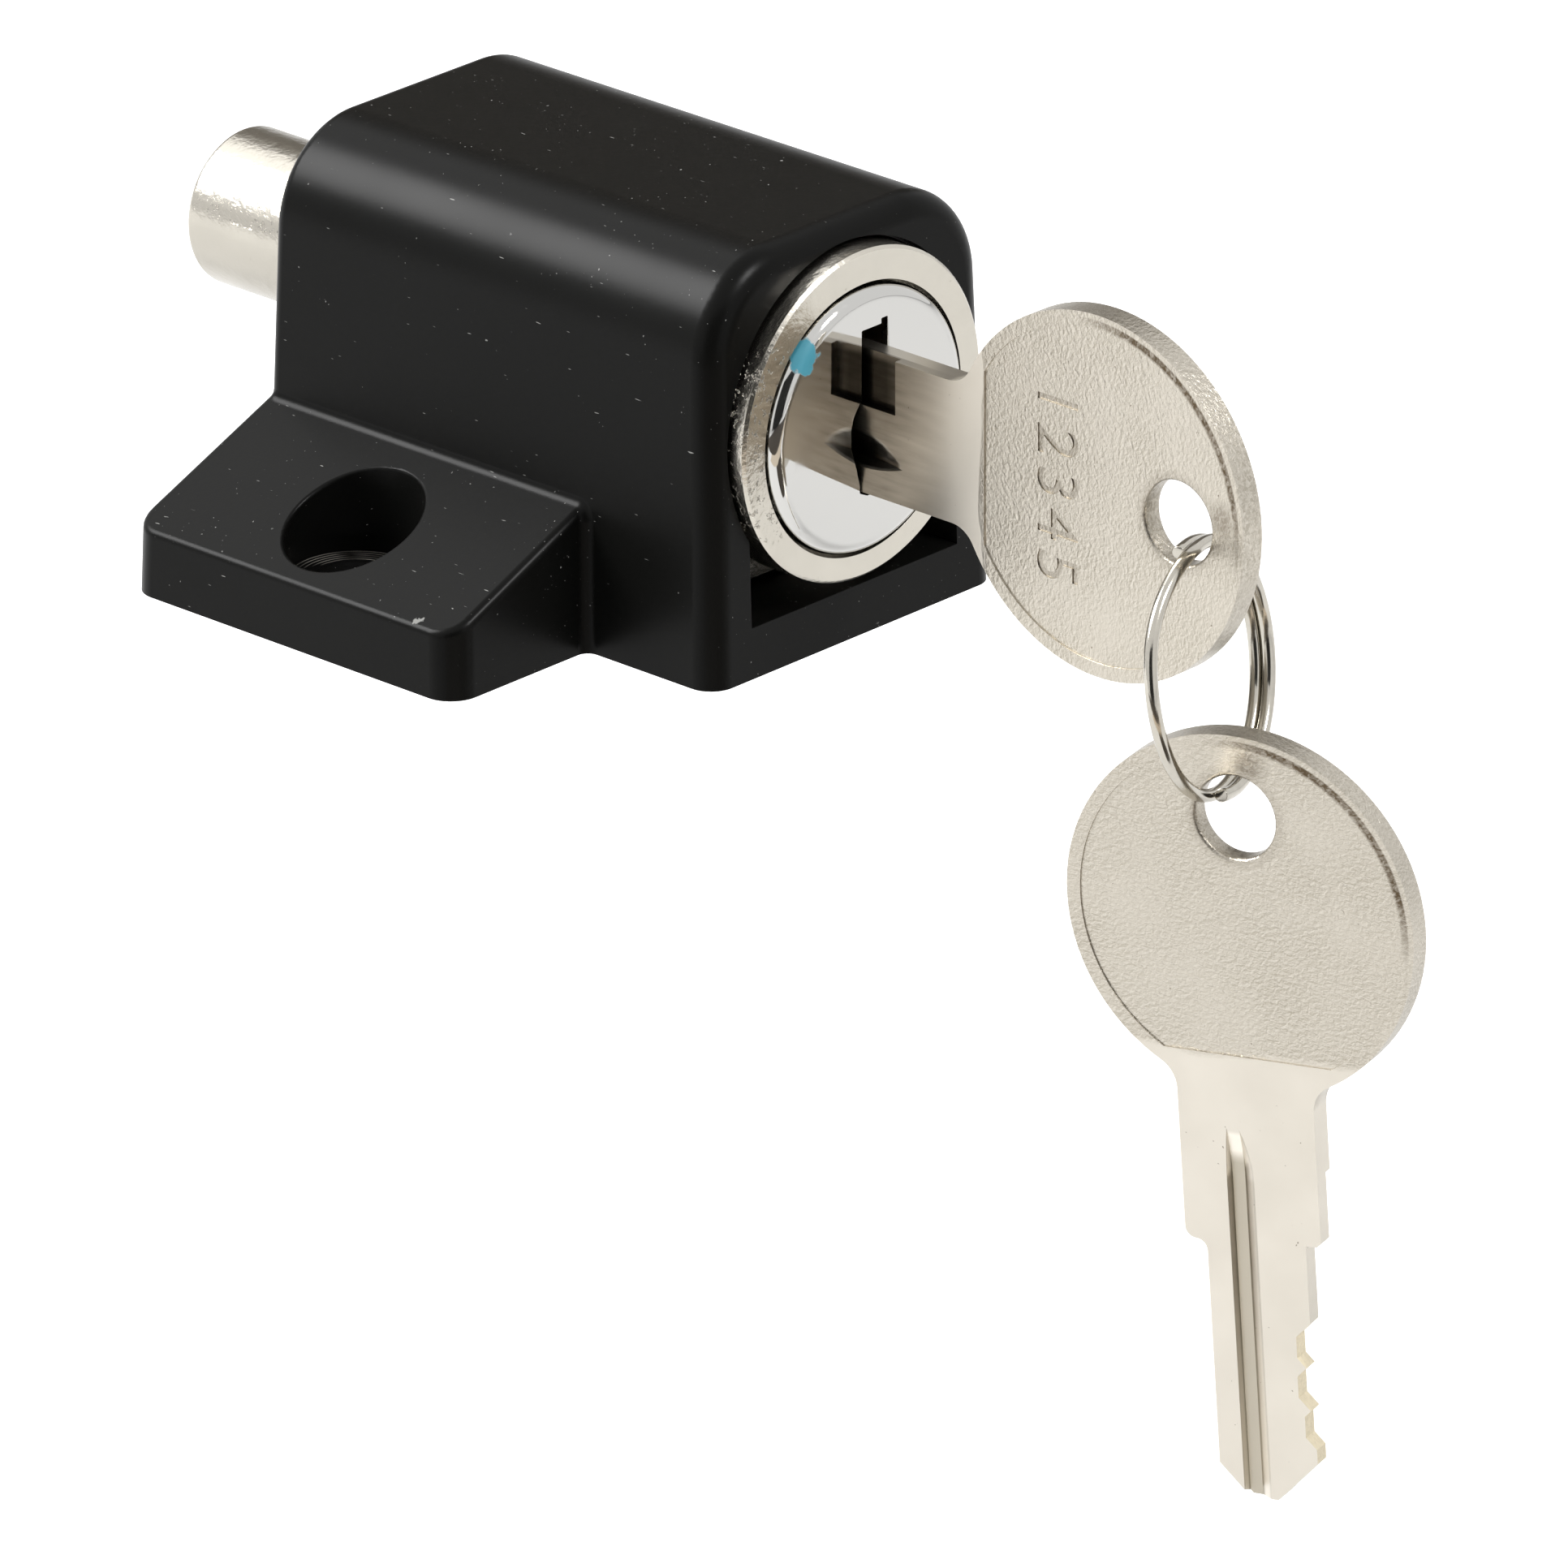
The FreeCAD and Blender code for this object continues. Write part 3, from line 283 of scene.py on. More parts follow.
def vector_maths(tree, operation, *values):
    """The result of one step of reckoning on vectors, a number where the operation gives one."""
    made = add(tree, "VectorMath", dict(enumerate(values)), operation=operation)
    return made.outputs["Value" if operation in ("LENGTH", "DISTANCE", "DOT_PRODUCT") else "Vector"]


def product(tree, first, *others):
    """All the values multiplied."""
    for other in others:
        first = maths(tree, "MULTIPLY", first, other)
    return first


def largest(tree, first, *others):
    """The largest of the values."""
    for other in others:
        first = maths(tree, "MAXIMUM", first, other)
    return first


def ramp(tree, value, low, high, at_low=0.0, at_high=1.0):
    """Goes from at_low to at_high as the value goes from low to high."""
    made = add(tree, "MapRange", {"Value": value, "From Min": low, "From Max": high,
                                  "To Min": at_low, "To Max": at_high})
    return made.outputs["Result"]


def fade(tree, value, span, share=1.0):
    """Goes from nothing at the span's first place to the share at its second, both in millimetres."""
    return ramp(tree, value, span[0] * MM, span[1] * MM, 0.0, share)


def noise(tree, place, size_mm, detail, **more):
    """Noise that repeats about every size_mm millimetres."""
    made = add(tree, "TexNoise", {"Vector": place, "Scale": per(size_mm), "Detail": detail, **more})
    return made.outputs["Fac"]


def strayed(tree, place, size_mm, detail, reach_mm):
    """The place moved each way by noise, which makes an outline ragged."""
    way = add(tree, "TexNoise", {"Vector": place, "Scale": per(size_mm), "Detail": detail}).outputs["Color"]
    return vector_maths(tree, "MULTIPLY_ADD", way, [reach_mm * MM] * 3, place)


def blend(tree, share, first, second):
    """The first colour with a share of the second over it."""
    return add(tree, "Mix", {"Factor": share, "A": first, "B": second}, data_type="RGBA").outputs["Result"]


def bump(tree, height, strength, depth_mm):
    """The normal of a relief with a depth in millimetres."""
    made = add(tree, "Bump", {"Height": height, "Strength": strength, "Distance": depth_mm * MM})
    return made.outputs["Normal"]


def start_material(name):
    """A new material, its tree, and its shader already on the output."""
    material = bpy.data.materials.new(name)
    material.use_nodes = True
    tree = material.node_tree
    return material, tree, tree.nodes["Principled BSDF"]


def satin_black_coating():
    # Die cast zinc with a thin satin black coat: soft broad highlights along the rounded edges, a faint
    # unevenness of the casting under it, sparse white specks, and rings of the cutter on the screw seats with
    # a painted highlight on their crests.
    colours = bpy.context.scene.lock_colours
    material, tree, shader = start_material("satin_black_coating")
    coordinates = add(tree, "TexCoord")
    place = coordinates.outputs["Object"]
    apart = add(tree, "SeparateXYZ", {"Vector": place})
    cloud = noise(tree, place, 9.0, 3.0)
    patch = noise(tree, place, 3.1, 2.0)

    # Dust in patches, mostly on what faces up, with fine hairs and one flake of lint
    speck = ramp(tree, noise(tree, place, 0.23, 1.0, Roughness=0.4), 0.765, 0.79)
    facing = add(tree, "SeparateXYZ", {"Vector": coordinates.outputs["Normal"]})
    settled = maths(tree, "MULTIPLY_ADD", facing.outputs["Z"], 0.13, patch)
    dusty = product(tree, speck, ramp(tree, settled, 0.58, 0.7))
    turned = add(tree, "Mapping", {"Vector": place, "Rotation": (0.5, 0.7, 0.4), "Scale": (1.0, 0.14, 1.0)})
    hair = ramp(tree, noise(tree, turned.outputs["Vector"], 0.12, 0.0), 0.86, 0.9)
    from_lint = vector_maths(tree, "DISTANCE", strayed(tree, place, 0.4, 2.0, 1.0), LINT_PLACE)
    white = largest(tree, dusty, hair, fade(tree, from_lint, LINT_EDGE))

    # Turned rings on the screw seats: their relief is real, and in patches their crests are painted pale
    # nickel, a painted highlight that shows through the seat's shade
    across = maths(tree, "SUBTRACT", maths(tree, "ABSOLUTE", apart.outputs["X"]), SCREW_X)
    seat = add(tree, "CombineXYZ", {"X": across, "Y": apart.outputs["Y"]})
    radius = vector_maths(tree, "LENGTH", seat.outputs["Vector"])
    ripple = maths(tree, "SINE", maths(tree, "MULTIPLY", radius, 2.0 * math.pi * per(SEAT_PITCH)))
    from_seat = maths(tree, "ABSOLUTE", maths(tree, "SUBTRACT", apart.outputs["Z"], SCREW_SEAT))
    on_seat = product(tree, fade(tree, radius, SEAT_EDGE), fade(tree, from_seat, SEAT_LEVEL))
    seat_highlights = product(tree, on_seat, ramp(tree, ripple, 0.75, 1.0), ramp(tree, patch, 0.35, 0.55))

    coat = blend(tree, cloud, tint(colours.coat), tint(colours.coat, 1.3))
    dusted = blend(tree, white, coat, tint(colours.dust))
    grit = noise(tree, place, 0.5, 4.0, Roughness=0.6)
    uneven = maths(tree, "MULTIPLY_ADD", noise(tree, place, 6.0, 1.0), 6.0, grit)
    relief = maths(tree, "MULTIPLY_ADD", product(tree, on_seat, ripple), 1.5, uneven)
    feed(tree, shader, {"Base Color": blend(tree, seat_highlights, dusted, tint(colours.nickel)),
                        "Roughness": ramp(tree, cloud, 0.0, 1.0, 0.26, 0.35),
                        "Normal": bump(tree, relief, 0.35, 0.012),
                        "Specular IOR Level": 0.085})
    return material


def plated_casting(name, tone, wear_centre, wear_reach_mm, wear_along):
    # Nickel on die cast zinc: warm white metal with a soft gloss, a faint orange peel of the casting
    # under the plate, and a patch or a line along it where fine dark flecks show through the rubbed plate.
    colours = bpy.context.scene.lock_colours
    material, tree, shader = start_material(name)
    place = add(tree, "TexCoord").outputs["Object"]
    cloud = noise(tree, place, 4.0, 4.0, Roughness=0.6)
    pits = noise(tree, place, 0.5, 3.0, Roughness=0.7)
    off = vector_maths(tree, "SUBTRACT", place, wear_centre)
    drawn = vector_maths(tree, "MULTIPLY", off, (1.0, wear_along, 1.0))
    near = fade(tree, vector_maths(tree, "LENGTH", drawn), (wear_reach_mm, wear_reach_mm * 0.4))
    worn = product(tree, near, ramp(tree, pits, 0.58, 0.64))
    dark = add(tree, "Math", {0: worn, 1: 0.75, 2: ramp(tree, pits, 0.7, 0.76)}, operation="MULTIPLY_ADD",
               use_clamp=True)
    plate = blend(tree, cloud, tint(colours.nickel, tone), tint(colours.nickel, tone * 0.86))
    peel = maths(tree, "MULTIPLY_ADD", worn, -5.0, cloud)
    skin = maths(tree, "ADD", noise(tree, place, 0.8, 4.0, Roughness=0.6), peel)
    rough = maths(tree, "MULTIPLY_ADD", pits, 0.35, skin)
    faded = product(tree, dark.outputs[0], 0.7)
    feed(tree, shader, {"Base Color": blend(tree, faded, plate, tint(colours.tarnish_and_shade)),
                        "Roughness": ramp(tree, cloud, 0.0, 1.0, 0.19, 0.3),
                        "Normal": bump(tree, rough, 0.8, 0.06),
                        "Metallic": 1.0})
    return material


def bright_chrome():
    # Drawn brass cap under bright chrome: a clear mirror with a faint waviness from the drawing,
    # small smears of grease, and a dab of blue paint over its rim.
    colours = bpy.context.scene.lock_colours
    material, tree, shader = start_material("bright_chrome")
    place = add(tree, "TexCoord").outputs["Object"]
    gloss = ramp(tree, noise(tree, place, 2.6, 5.0, Distortion=1.2), 0.45, 0.75, 0.035, 0.15)
    off = vector_maths(tree, "SUBTRACT", place, (0.0, 0.0, AXIS_HEIGHT))
    flat = vector_maths(tree, "MULTIPLY", off, (1.0, 0.0, 1.0))
    rise = maths(tree, "MULTIPLY", vector_maths(tree, "DOT_PRODUCT", flat, flat), -CAP_DOME)
    wavy = bump(tree, noise(tree, place, 5.0, 1.0), 0.3, 0.06)
    dome = add(tree, "Bump", {"Height": rise, "Distance": 1.0, "Normal": wavy})
    from_dab = vector_maths(tree, "DISTANCE", strayed(tree, place, 0.8, 4.0, 1.5), DAB_PLACE)
    dab = fade(tree, from_dab, DAB_EDGE)
    feed(tree, shader, {"Base Color": blend(tree, dab, tint(colours.chrome), tint(colours.dab)),
                        "Metallic": maths(tree, "SUBTRACT", 1.0, dab),
                        "Roughness": maths(tree, "MULTIPLY_ADD", dab, 0.3, gloss),
                        "Normal": dome.outputs["Normal"]})
    return material


def from_point(tree, own, y, z):
    """The way to a place of the key's own frame from a line across the key."""
    off = vector_maths(tree, "SUBTRACT", own, (0.0, y, z))
    return vector_maths(tree, "MULTIPLY", off, (0.0, 1.0, 1.0))


def key_plate(name, neck_shade_share):
    # Nickel plated brass key. The bow keeps the leathery grain of the tumbled blank, fine slanting strokes
    # with small glints and painted shading on one flank of each, a painted shade line in one quarter of its
    # rim step and brown at the hole. The blade is smooth, its milled grooves painted pale on their walls and
    # a darker taupe on their floor. On the key in use a painted dark reflection darkens the neck, and painted
    # shade its grooves.
    colours = bpy.context.scene.lock_colours
    material, tree, shader = start_material(name)
    own = add(tree, "Attribute", attribute_name="own_place").outputs["Vector"]
    apart = add(tree, "SeparateXYZ", {"Vector": own})
    across, along, up = apart.outputs["X"], apart.outputs["Y"], apart.outputs["Z"]
    thick = maths(tree, "ABSOLUTE", across)
    cloud = noise(tree, own, 5.0, 3.0)
    in_bow = fade(tree, maths(tree, "MULTIPLY_ADD", cloud, 1.6 * MM, along), BOW_GRAIN)

    # The bow's grain with painted shading: each stroke is painted lighter on one flank than on the other, as
    # if lit from one side
    slanted = add(tree, "Mapping", {"Vector": own, "Rotation": (0.35, 0.0, 0.0), "Scale": (1.0, 1.0, 0.72)})
    shifted = vector_maths(tree, "ADD", slanted.outputs["Vector"], (0.0, 0.05 * MM, 0.035 * MM))
    strokes = noise(tree, slanted.outputs["Vector"], 0.25, 4.0, Roughness=0.6, Distortion=0.5)
    emboss_shade = maths(tree, "SUBTRACT", strokes, noise(tree, shifted, 0.25, 4.0, Roughness=0.6, Distortion=0.5))
    painted_emboss = ramp(tree, emboss_shade, -0.11, 0.11, -0.5, 0.5)
    swing = maths(tree, "MULTIPLY_ADD", painted_emboss, ramp(tree, cloud, 0.35, 0.6, 0.5, 1.0), 0.5)
    tone = maths(tree, "MULTIPLY_ADD", product(tree, swing, in_bow), 0.75, product(tree, cloud, 0.34))
    plate = blend(tree, tone, tint(colours.key_nickel), tint(colours.key_shade))

    # Brown: a painted shade line in a quarter of the rim's step and painted shade in the digits, with dirt at
    # the hole, on the rim, a smudge and pits
    # Painted shade: the step's line is darkened only in one quarter, where the step falls in shade
    from_bow = from_point(tree, own, -BOW_BACK, BOW_RISE)
    radius = vector_maths(tree, "LENGTH", from_bow)
    quarter = fade(tree, vector_maths(tree, "DOT_PRODUCT", from_bow, STEP_SHADE_WAY), STEP_SHADE_QUARTER)
    broken = ramp(tree, strokes, 0.3, 0.6, 0.4, 1.0)
    step_shade = product(tree, fade(tree, radius, STEP_INSIDE), fade(tree, radius, STEP_OUTSIDE), quarter, broken)
    from_hole = vector_maths(tree, "LENGTH", from_point(tree, own, -HOLE_BACK, BOW_RISE))
    rubbed = product(tree, fade(tree, from_hole, HOLE_WEAR, 0.5), strokes)
    rim = product(tree, fade(tree, radius, RIM_WEAR, 0.06), in_bow, fade(tree, thick, RIM_WALL))
    # Painted shade: the inside of the stamped digits is painted a darker brown, as the shade in their hollows
    from_digits = vector_maths(tree, "ABSOLUTE", vector_maths(tree, "SUBTRACT", own, DIGITS_BOX[0]))
    past = add(tree, "SeparateXYZ", {"Vector": vector_maths(tree, "SUBTRACT", from_digits, DIGITS_BOX[1])})
    past_box = largest(tree, past.outputs["X"], past.outputs["Y"], past.outputs["Z"])
    stamped = fade(tree, past_box, DIGITS_EDGE, 0.3)
    from_smudge = from_point(tree, own, -HOLE_BACK - SMUDGE_BACK, BOW_RISE + SMUDGE_RISE)
    smudge = product(tree, fade(tree, vector_maths(tree, "LENGTH", from_smudge), SMUDGE_EDGE), broken, 0.6)
    pits = ramp(tree, noise(tree, own, 0.35, 1.0), 0.79, 0.82, 0.0, 0.7)
    dirt_and_shade = largest(tree, step_shade, rubbed, rim, stamped, smudge, pits)

    # The milled grooves: walls painted pale, a painted light against the shade in them, and a floor painted a
    # darker taupe, a painted shade
    sunk = fade(tree, thick, UNDER_FACE)
    over_low = fade(tree, up, GROOVE_LOW)
    milled = product(tree, over_low, fade(tree, up, GROOVE_HIGH), sunk, fade(tree, along, GROOVE_END))
    painted_light_walls = blend(tree, milled, plate, tint(colours.key_nickel, 1.2))
    painted_shade_floor = product(tree, milled, fade(tree, thick, GROOVE_FLOOR))
    grooved = blend(tree, painted_shade_floor, painted_light_walls, tint(colours.key_shade, 1.15))
    dirt_and_shade_colour = blend(tree, dirt_and_shade, grooved, tint(colours.tarnish_and_shade))

    # Painted dark reflections in drawn lines over the neck's left side, and painted shade in its grooves
    left = fade(tree, across, LEFT_SIDE)
    drawn = add(tree, "Mapping", {"Vector": own, "Scale": (1.0, 0.12, 1.0)})
    lines = noise(tree, drawn.outputs["Vector"], 0.5, 3.0)
    neck_reflection = product(tree, fade(tree, along, NECK_REFLECTION_ALONG, 0.9 * neck_shade_share), left, lines)
    reflected_neck = blend(tree, neck_reflection, dirt_and_shade_colour, tint(colours.tarnish_and_shade))
    neck = product(tree, fade(tree, along, NECK_FRONT), fade(tree, along, NECK_BACK),
                   fade(tree, up, NECK_TOP))
    neck_shade = product(tree, neck, over_low, left, sunk, 0.88 * neck_shade_share)

    deep = maths(tree, "MULTIPLY_ADD", in_bow, 0.95, 0.05)
    feed(tree, shader, {"Base Color": blend(tree, neck_shade, reflected_neck, tint(colours.shade_brass, 0.3)),
                        "Roughness": ramp(tree, cloud, 0.0, 1.0, 0.24, 0.36),
                        "Normal": bump(tree, product(tree, strokes, deep), 0.9, 0.055),
                        "Metallic": 1.0})
    return material


def follow_marks(tree, shader, marks, light, dark, shine, strength):
    """Lets the tone, gloss and relief of a metal all follow the marks in it."""
    feed(tree, shader, {"Base Color": blend(tree, marks, light, dark),
                        "Roughness": ramp(tree, marks, 0.0, 1.0, *shine),
                        "Normal": bump(tree, marks, strength, 0.02),
                        "Metallic": 1.0})


def ring_wire():
    # Nickel plated spring wire: a close polish with fine drawing marks, so that it mirrors the dark cards
    # as a brown line along its middle.
    nickel = bpy.context.scene.lock_colours.nickel
    material, tree, shader = start_material("nickel_plated_wire")
    place = add(tree, "TexCoord").outputs["Object"]
    marks = noise(tree, place, 0.7, 4.0, Roughness=0.6)
    follow_marks(tree, shader, marks, tint(nickel, 0.95), tint(nickel, 0.7), (0.08, 0.2), 0.2)
    return material


def plain_metal(name, colour, shine, mark_mm):
    # Brass or steel as machined, stamped or drawn: fine tool marks across and a slightly uneven tone.
    material, tree, shader = start_material(name)
    place = add(tree, "TexCoord").outputs["Object"]
    stretched = add(tree, "Mapping", {"Vector": place, "Scale": (1.0, 0.12, 1.0)})
    marks = noise(tree, stretched.outputs["Vector"], mark_mm, 3.0)
    follow_marks(tree, shader, marks, tint(colour), tint(colour, 0.7), (shine, shine + 0.18), 0.3)
    return material


# Shaping
def deselect():
    if bpy.context.object and bpy.context.object.mode != "OBJECT":
        bpy.ops.object.mode_set(mode="OBJECT")
    bpy.ops.object.select_all(action="DESELECT")


def pick(piece):
    deselect()
    piece.select_set(True)
    bpy.context.view_layer.objects.active = piece


def apply_modifier(piece, kind, **settings):
    """Adds a modifier with its settings and applies it."""
    pick(piece)
    made = piece.modifiers.new(kind.title(), kind)
    for name, value in settings.items():
        setattr(made, name, value)
    bpy.ops.object.modifier_apply(modifier=made.name)


def dress(node, name):
    """A copy of a CAD node as a piece of its own, merged, with its flat faces whole."""
    deselect()
    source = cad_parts[node]
    piece = bpy.data.objects.new(name, source.data.copy())
    bpy.context.scene.collection.objects.link(piece)
    piece.data.materials.clear()
    pick(piece)
    bpy.ops.mesh.customdata_custom_splitnormals_clear()
    bpy.ops.object.mode_set(mode="EDIT")
    bpy.ops.mesh.select_all(action="SELECT")
    bpy.ops.mesh.remove_doubles(threshold=MERGE_DISTANCE)
    bpy.ops.mesh.dissolve_limited(angle_limit=math.radians(0.3))
    bpy.ops.object.mode_set(mode="OBJECT")
    return piece


def merge_points(piece):
    """Merges a piece's doubled points and turns its faces outwards."""
    pick(piece)
    bpy.ops.object.mode_set(mode="EDIT")
    bpy.ops.mesh.select_all(action="SELECT")
    bpy.ops.mesh.remove_doubles(threshold=MERGE_DISTANCE)
    bpy.ops.mesh.normals_make_consistent(inside=False)
    bpy.ops.object.mode_set(mode="OBJECT")


def even_shading(piece, angle_deg=40.0):
    """Smooth shading up to an angle, with the flats kept flat."""
    pick(piece)
    bpy.ops.object.shade_smooth_by_angle(angle=math.radians(angle_deg))
    apply_modifier(piece, "WEIGHTED_NORMAL", keep_sharp=True, weight=60)


def round_edges(piece, width, angle_deg=28.0, segments=3):
    """Rounds every sharp edge."""
    apply_modifier(piece, "BEVEL", width=width, segments=segments, limit_method="ANGLE",
                   angle_limit=math.radians(angle_deg), use_clamp_overlap=True, miter_outer="MITER_ARC")


def take_place(piece, node, body, material):
    """Gives the piece its finish and its body, and hides the CAD node that it stands for."""
    if material:
        piece.data.materials.append(material)
    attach(piece, body)
    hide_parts(node)


def key_frame(spare):
    """Where a key's own frame lies: blade along its Y, cuts along its Z, hole at HOLE_BACK behind."""
    if not spare:
        return Matrix.Translation(KEY_HOLE + Vector((0.0, HOLE_BACK, -BOW_RISE)))
    forward = Vector((math.cos(SPARE_TURN), math.sin(SPARE_TURN), 0.0))
    blade = forward * math.sin(SPARE_TILT) - UP * math.cos(SPARE_TILT)
    cuts = forward * math.cos(SPARE_TILT) + UP * math.sin(SPARE_TILT)
    turn = Matrix((blade.cross(cuts), blade, cuts)).transposed().to_4x4()
    return Matrix.Translation(SPARE_HOLE) @ turn @ Matrix.Translation((0.0, HOLE_BACK, -BOW_RISE))


class LOCK_OT_housing(bpy.types.Operator):
    """Dress the die cast housing in its satin black coat"""
    bl_idname = "lock.housing"
    bl_label = "Housing"

    def execute(self, context):
        piece = dress("housing", "housing_casting")
        round_edges(piece, context.scene.lock_sizes.cast_edge)
        even_shading(piece)
        take_place(piece, "housing", "housing", satin_black_coating())
        return {"FINISHED"}


class LOCK_OT_barrel(bpy.types.Operator):
    """Dress the plated barrel and its ring"""
    bl_idname = "lock.barrel"
    bl_label = "Barrel"

    def execute(self, context):
        piece = dress("barrel", "barrel_casting")
        round_edges(piece, context.scene.lock_sizes.ring_edge)
        even_shading(piece)
        finish = plated_casting("nickel_plated_ring", 0.97, RING_WEAR_PLACE, 6.5, 1.0)
        take_place(piece, "barrel", "barrel", finish)
        return {"FINISHED"}


class LOCK_OT_bolt(bpy.types.Operator):
    """Dress the plated bolt"""
    bl_idname = "lock.bolt"
    bl_label = "Bolt"

    def execute(self, context):
        piece = dress("bolt", "bolt_casting")
        round_edges(piece, context.scene.lock_sizes.ring_edge)
        even_shading(piece)
        finish = plated_casting("nickel_plated_bolt", 0.8, BOLT_WEAR_PLACE, 0.9, 0.05)
        take_place(piece, "bolt", "barrel", finish)
        return {"FINISHED"}


class LOCK_OT_face_cap(bpy.types.Operator):
    """Dress the chrome cap on the plug's face"""
    bl_idname = "lock.face_cap"
    bl_label = "Face cap"

    def execute(self, context):
        piece = dress("plug_face_cap", "face_cap_shell")
        round_edges(piece, context.scene.lock_sizes.cap_edge, angle_deg=40.0, segments=2)
        even_shading(piece)
        take_place(piece, "plug_face_cap", "plug", bright_chrome())
        return {"FINISHED"}


class LOCK_OT_keys(bpy.types.Operator):
    """Dress the two keys, with plain digits stamped in the bow of the working one"""
    bl_idname = "lock.keys"
    bl_label = "Keys"

    def execute(self, context):
        sizes = context.scene.lock_sizes
        bare = plain_metal("bare_brass_cut", context.scene.lock_colours.bare, 0.3, 0.2)
        for node, name, plate, neck_shade_share in KEYS:
            spare = node == "spare_key"
            piece = dress(node, name)
            back = key_frame(spare).inverted()
            self.round_hole(piece, back, sizes.hole_edge)
            round_edges(piece, sizes.plate_edge, segments=2)
            if not spare:
                self.stamp_digits(context, piece)
            even_shading(piece)
            piece.data.materials.append(key_plate(plate, neck_shade_share))
            piece.data.materials.append(bare)
            self.mark_own_place(piece, back)
            if spare:
                self.bare_cuts(piece, back)
            take_place(piece, node, node, None)
        return {"FINISHED"}

    def mark_own_place(self, piece, back):
        """Keeps each point's place in the key's own frame, so both keys carry the same grain."""
        layer = piece.data.attributes.new("own_place", "FLOAT_VECTOR", "POINT")
        for index, vertex in enumerate(piece.data.vertices):
            layer.data[index].vector = back @ vertex.co

    def bare_cuts(self, piece, back):
        """Gives the walls of the key's cuts their bare brass."""
        turn = back.to_3x3()
        for face in piece.data.polygons:
            centre = back @ face.center
            normal = turn @ face.normal
            in_cut = centre.y > CUTS_START and centre.z > CUTS_LOW and abs(normal.x) < 0.5
            face.material_index = 1 if in_cut else 0

    def round_hole(self, piece, back, width):
        """Rounds the two rims of the hole in the bow more than the key's other edges."""
        pick(piece)
        bpy.ops.object.mode_set(mode="EDIT")
        bpy.ops.mesh.select_all(action="DESELECT")
        bpy.ops.object.mode_set(mode="OBJECT")
        centre = Vector((-HOLE_BACK, BOW_RISE))
        places = [back @ vertex.co for vertex in piece.data.vertices]
        rim = [abs((Vector(place.yz) - centre).length - HOLE_RADIUS) < HOLE_SLACK for place in places]
        for edge in piece.data.edges:
            a, b = edge.vertices
            edge.select = rim[a] and rim[b] and abs(places[a].x - places[b].x) < SAME_FACE
        bpy.ops.object.mode_set(mode="EDIT")
        bpy.ops.mesh.select_mode(type="EDGE")
        bpy.ops.mesh.bevel(offset=width, segments=4, affect="EDGES")
        bpy.ops.mesh.select_mode(type="VERT")
        bpy.ops.object.mode_set(mode="OBJECT")

    def stamp_digits(self, context, piece):
        """Cuts a row of plain digits a little way into the left side of the bow."""
        sizes = context.scene.lock_sizes
        deselect()
        bpy.ops.object.text_add()
        text = context.object
        text.data.body = "12345"
        text.data.extrude = 0.5
        text.data.space_character = 1.25
        bpy.ops.object.convert(target="MESH")
        cutter = context.object
        low, high = [Vector([end(vertex.co[axis] for vertex in cutter.data.vertices) for axis in range(3)])
                     for end in (min, max)]
        wanted = (sizes.digit_row, sizes.digit_height, 2.0 * sizes.digit_depth)
        scale = Matrix.Diagonal([want / (b - a) for want, a, b in zip(wanted, low, high)] + [1.0])
        across = Matrix(((0.0, 0.0, -1.0), (0.0, -1.0, 0.0), (-1.0, 0.0, 0.0))).to_4x4()
        middle = Matrix.Translation((low + high) / -2.0)
        cutter.data.transform(Matrix.Translation(DIGITS_PLACE) @ across @ scale @ middle)
        merge_points(cutter)
        apply_modifier(piece, "BOOLEAN", operation="DIFFERENCE", object=cutter, solver="EXACT")
        bpy.data.objects.remove(cutter)


class LOCK_OT_split_ring(bpy.types.Operator):
    """Wind the split ring from touching turns of wire"""
    bl_idname = "lock.split_ring"
    bl_label = "Split ring"

    def execute(self, context):
        sizes = context.scene.lock_sizes
        across = Vector((math.cos(RING_TURN), math.sin(RING_TURN), 0.0))
        back = Vector((-across.y, across.x, 0.0))
        up = UP * math.cos(RING_LEAN) + back * math.sin(RING_LEAN)
        side = up.cross(across)
        deselect()
        bpy.ops.curve.primitive_nurbs_path_add()
        curve = context.object
        curve.name = "split_ring_wire"
        curve.data.splines.clear()
        spline = curve.data.splines.new("NURBS")
        spline.points.add((RING_END - RING_START) // RING_STEP)
        for index, point in enumerate(spline.points):
            degrees = RING_START + index * RING_STEP
            a = math.radians(degrees)
            crossing = min(1.0, max(0.0, (degrees - CROSSING_START) / CROSSING_SWEEP))
            off = -RING_SPREAD * sizes.wire_radius * math.cos(math.pi * crossing)
            place = RING_CENTRE + (across * math.cos(a) + up * math.sin(a)) * sizes.coil_radius + side * off
            point.co = (place.x, place.y, place.z, 1.0)
        spline.use_endpoint_u = True
        spline.order_u = 4
        spline.resolution_u = 3
        curve.data.bevel_depth = sizes.wire_radius
        curve.data.bevel_resolution = 6
        curve.data.use_fill_caps = True
        curve.location = (0.0, 0.0, 0.0)
        bpy.ops.object.convert(target="MESH")
        piece = context.object
        merge_points(piece)
        apply_modifier(piece, "BEVEL", width=WIRE_END_ROUND, segments=3, limit_method="ANGLE",
                       angle_limit=math.radians(60.0))
        pick(piece)
        bpy.ops.object.shade_smooth_by_angle(angle=math.radians(50.0))
        take_place(piece, "split_ring", "split_ring", ring_wire())
        return {"FINISHED"}


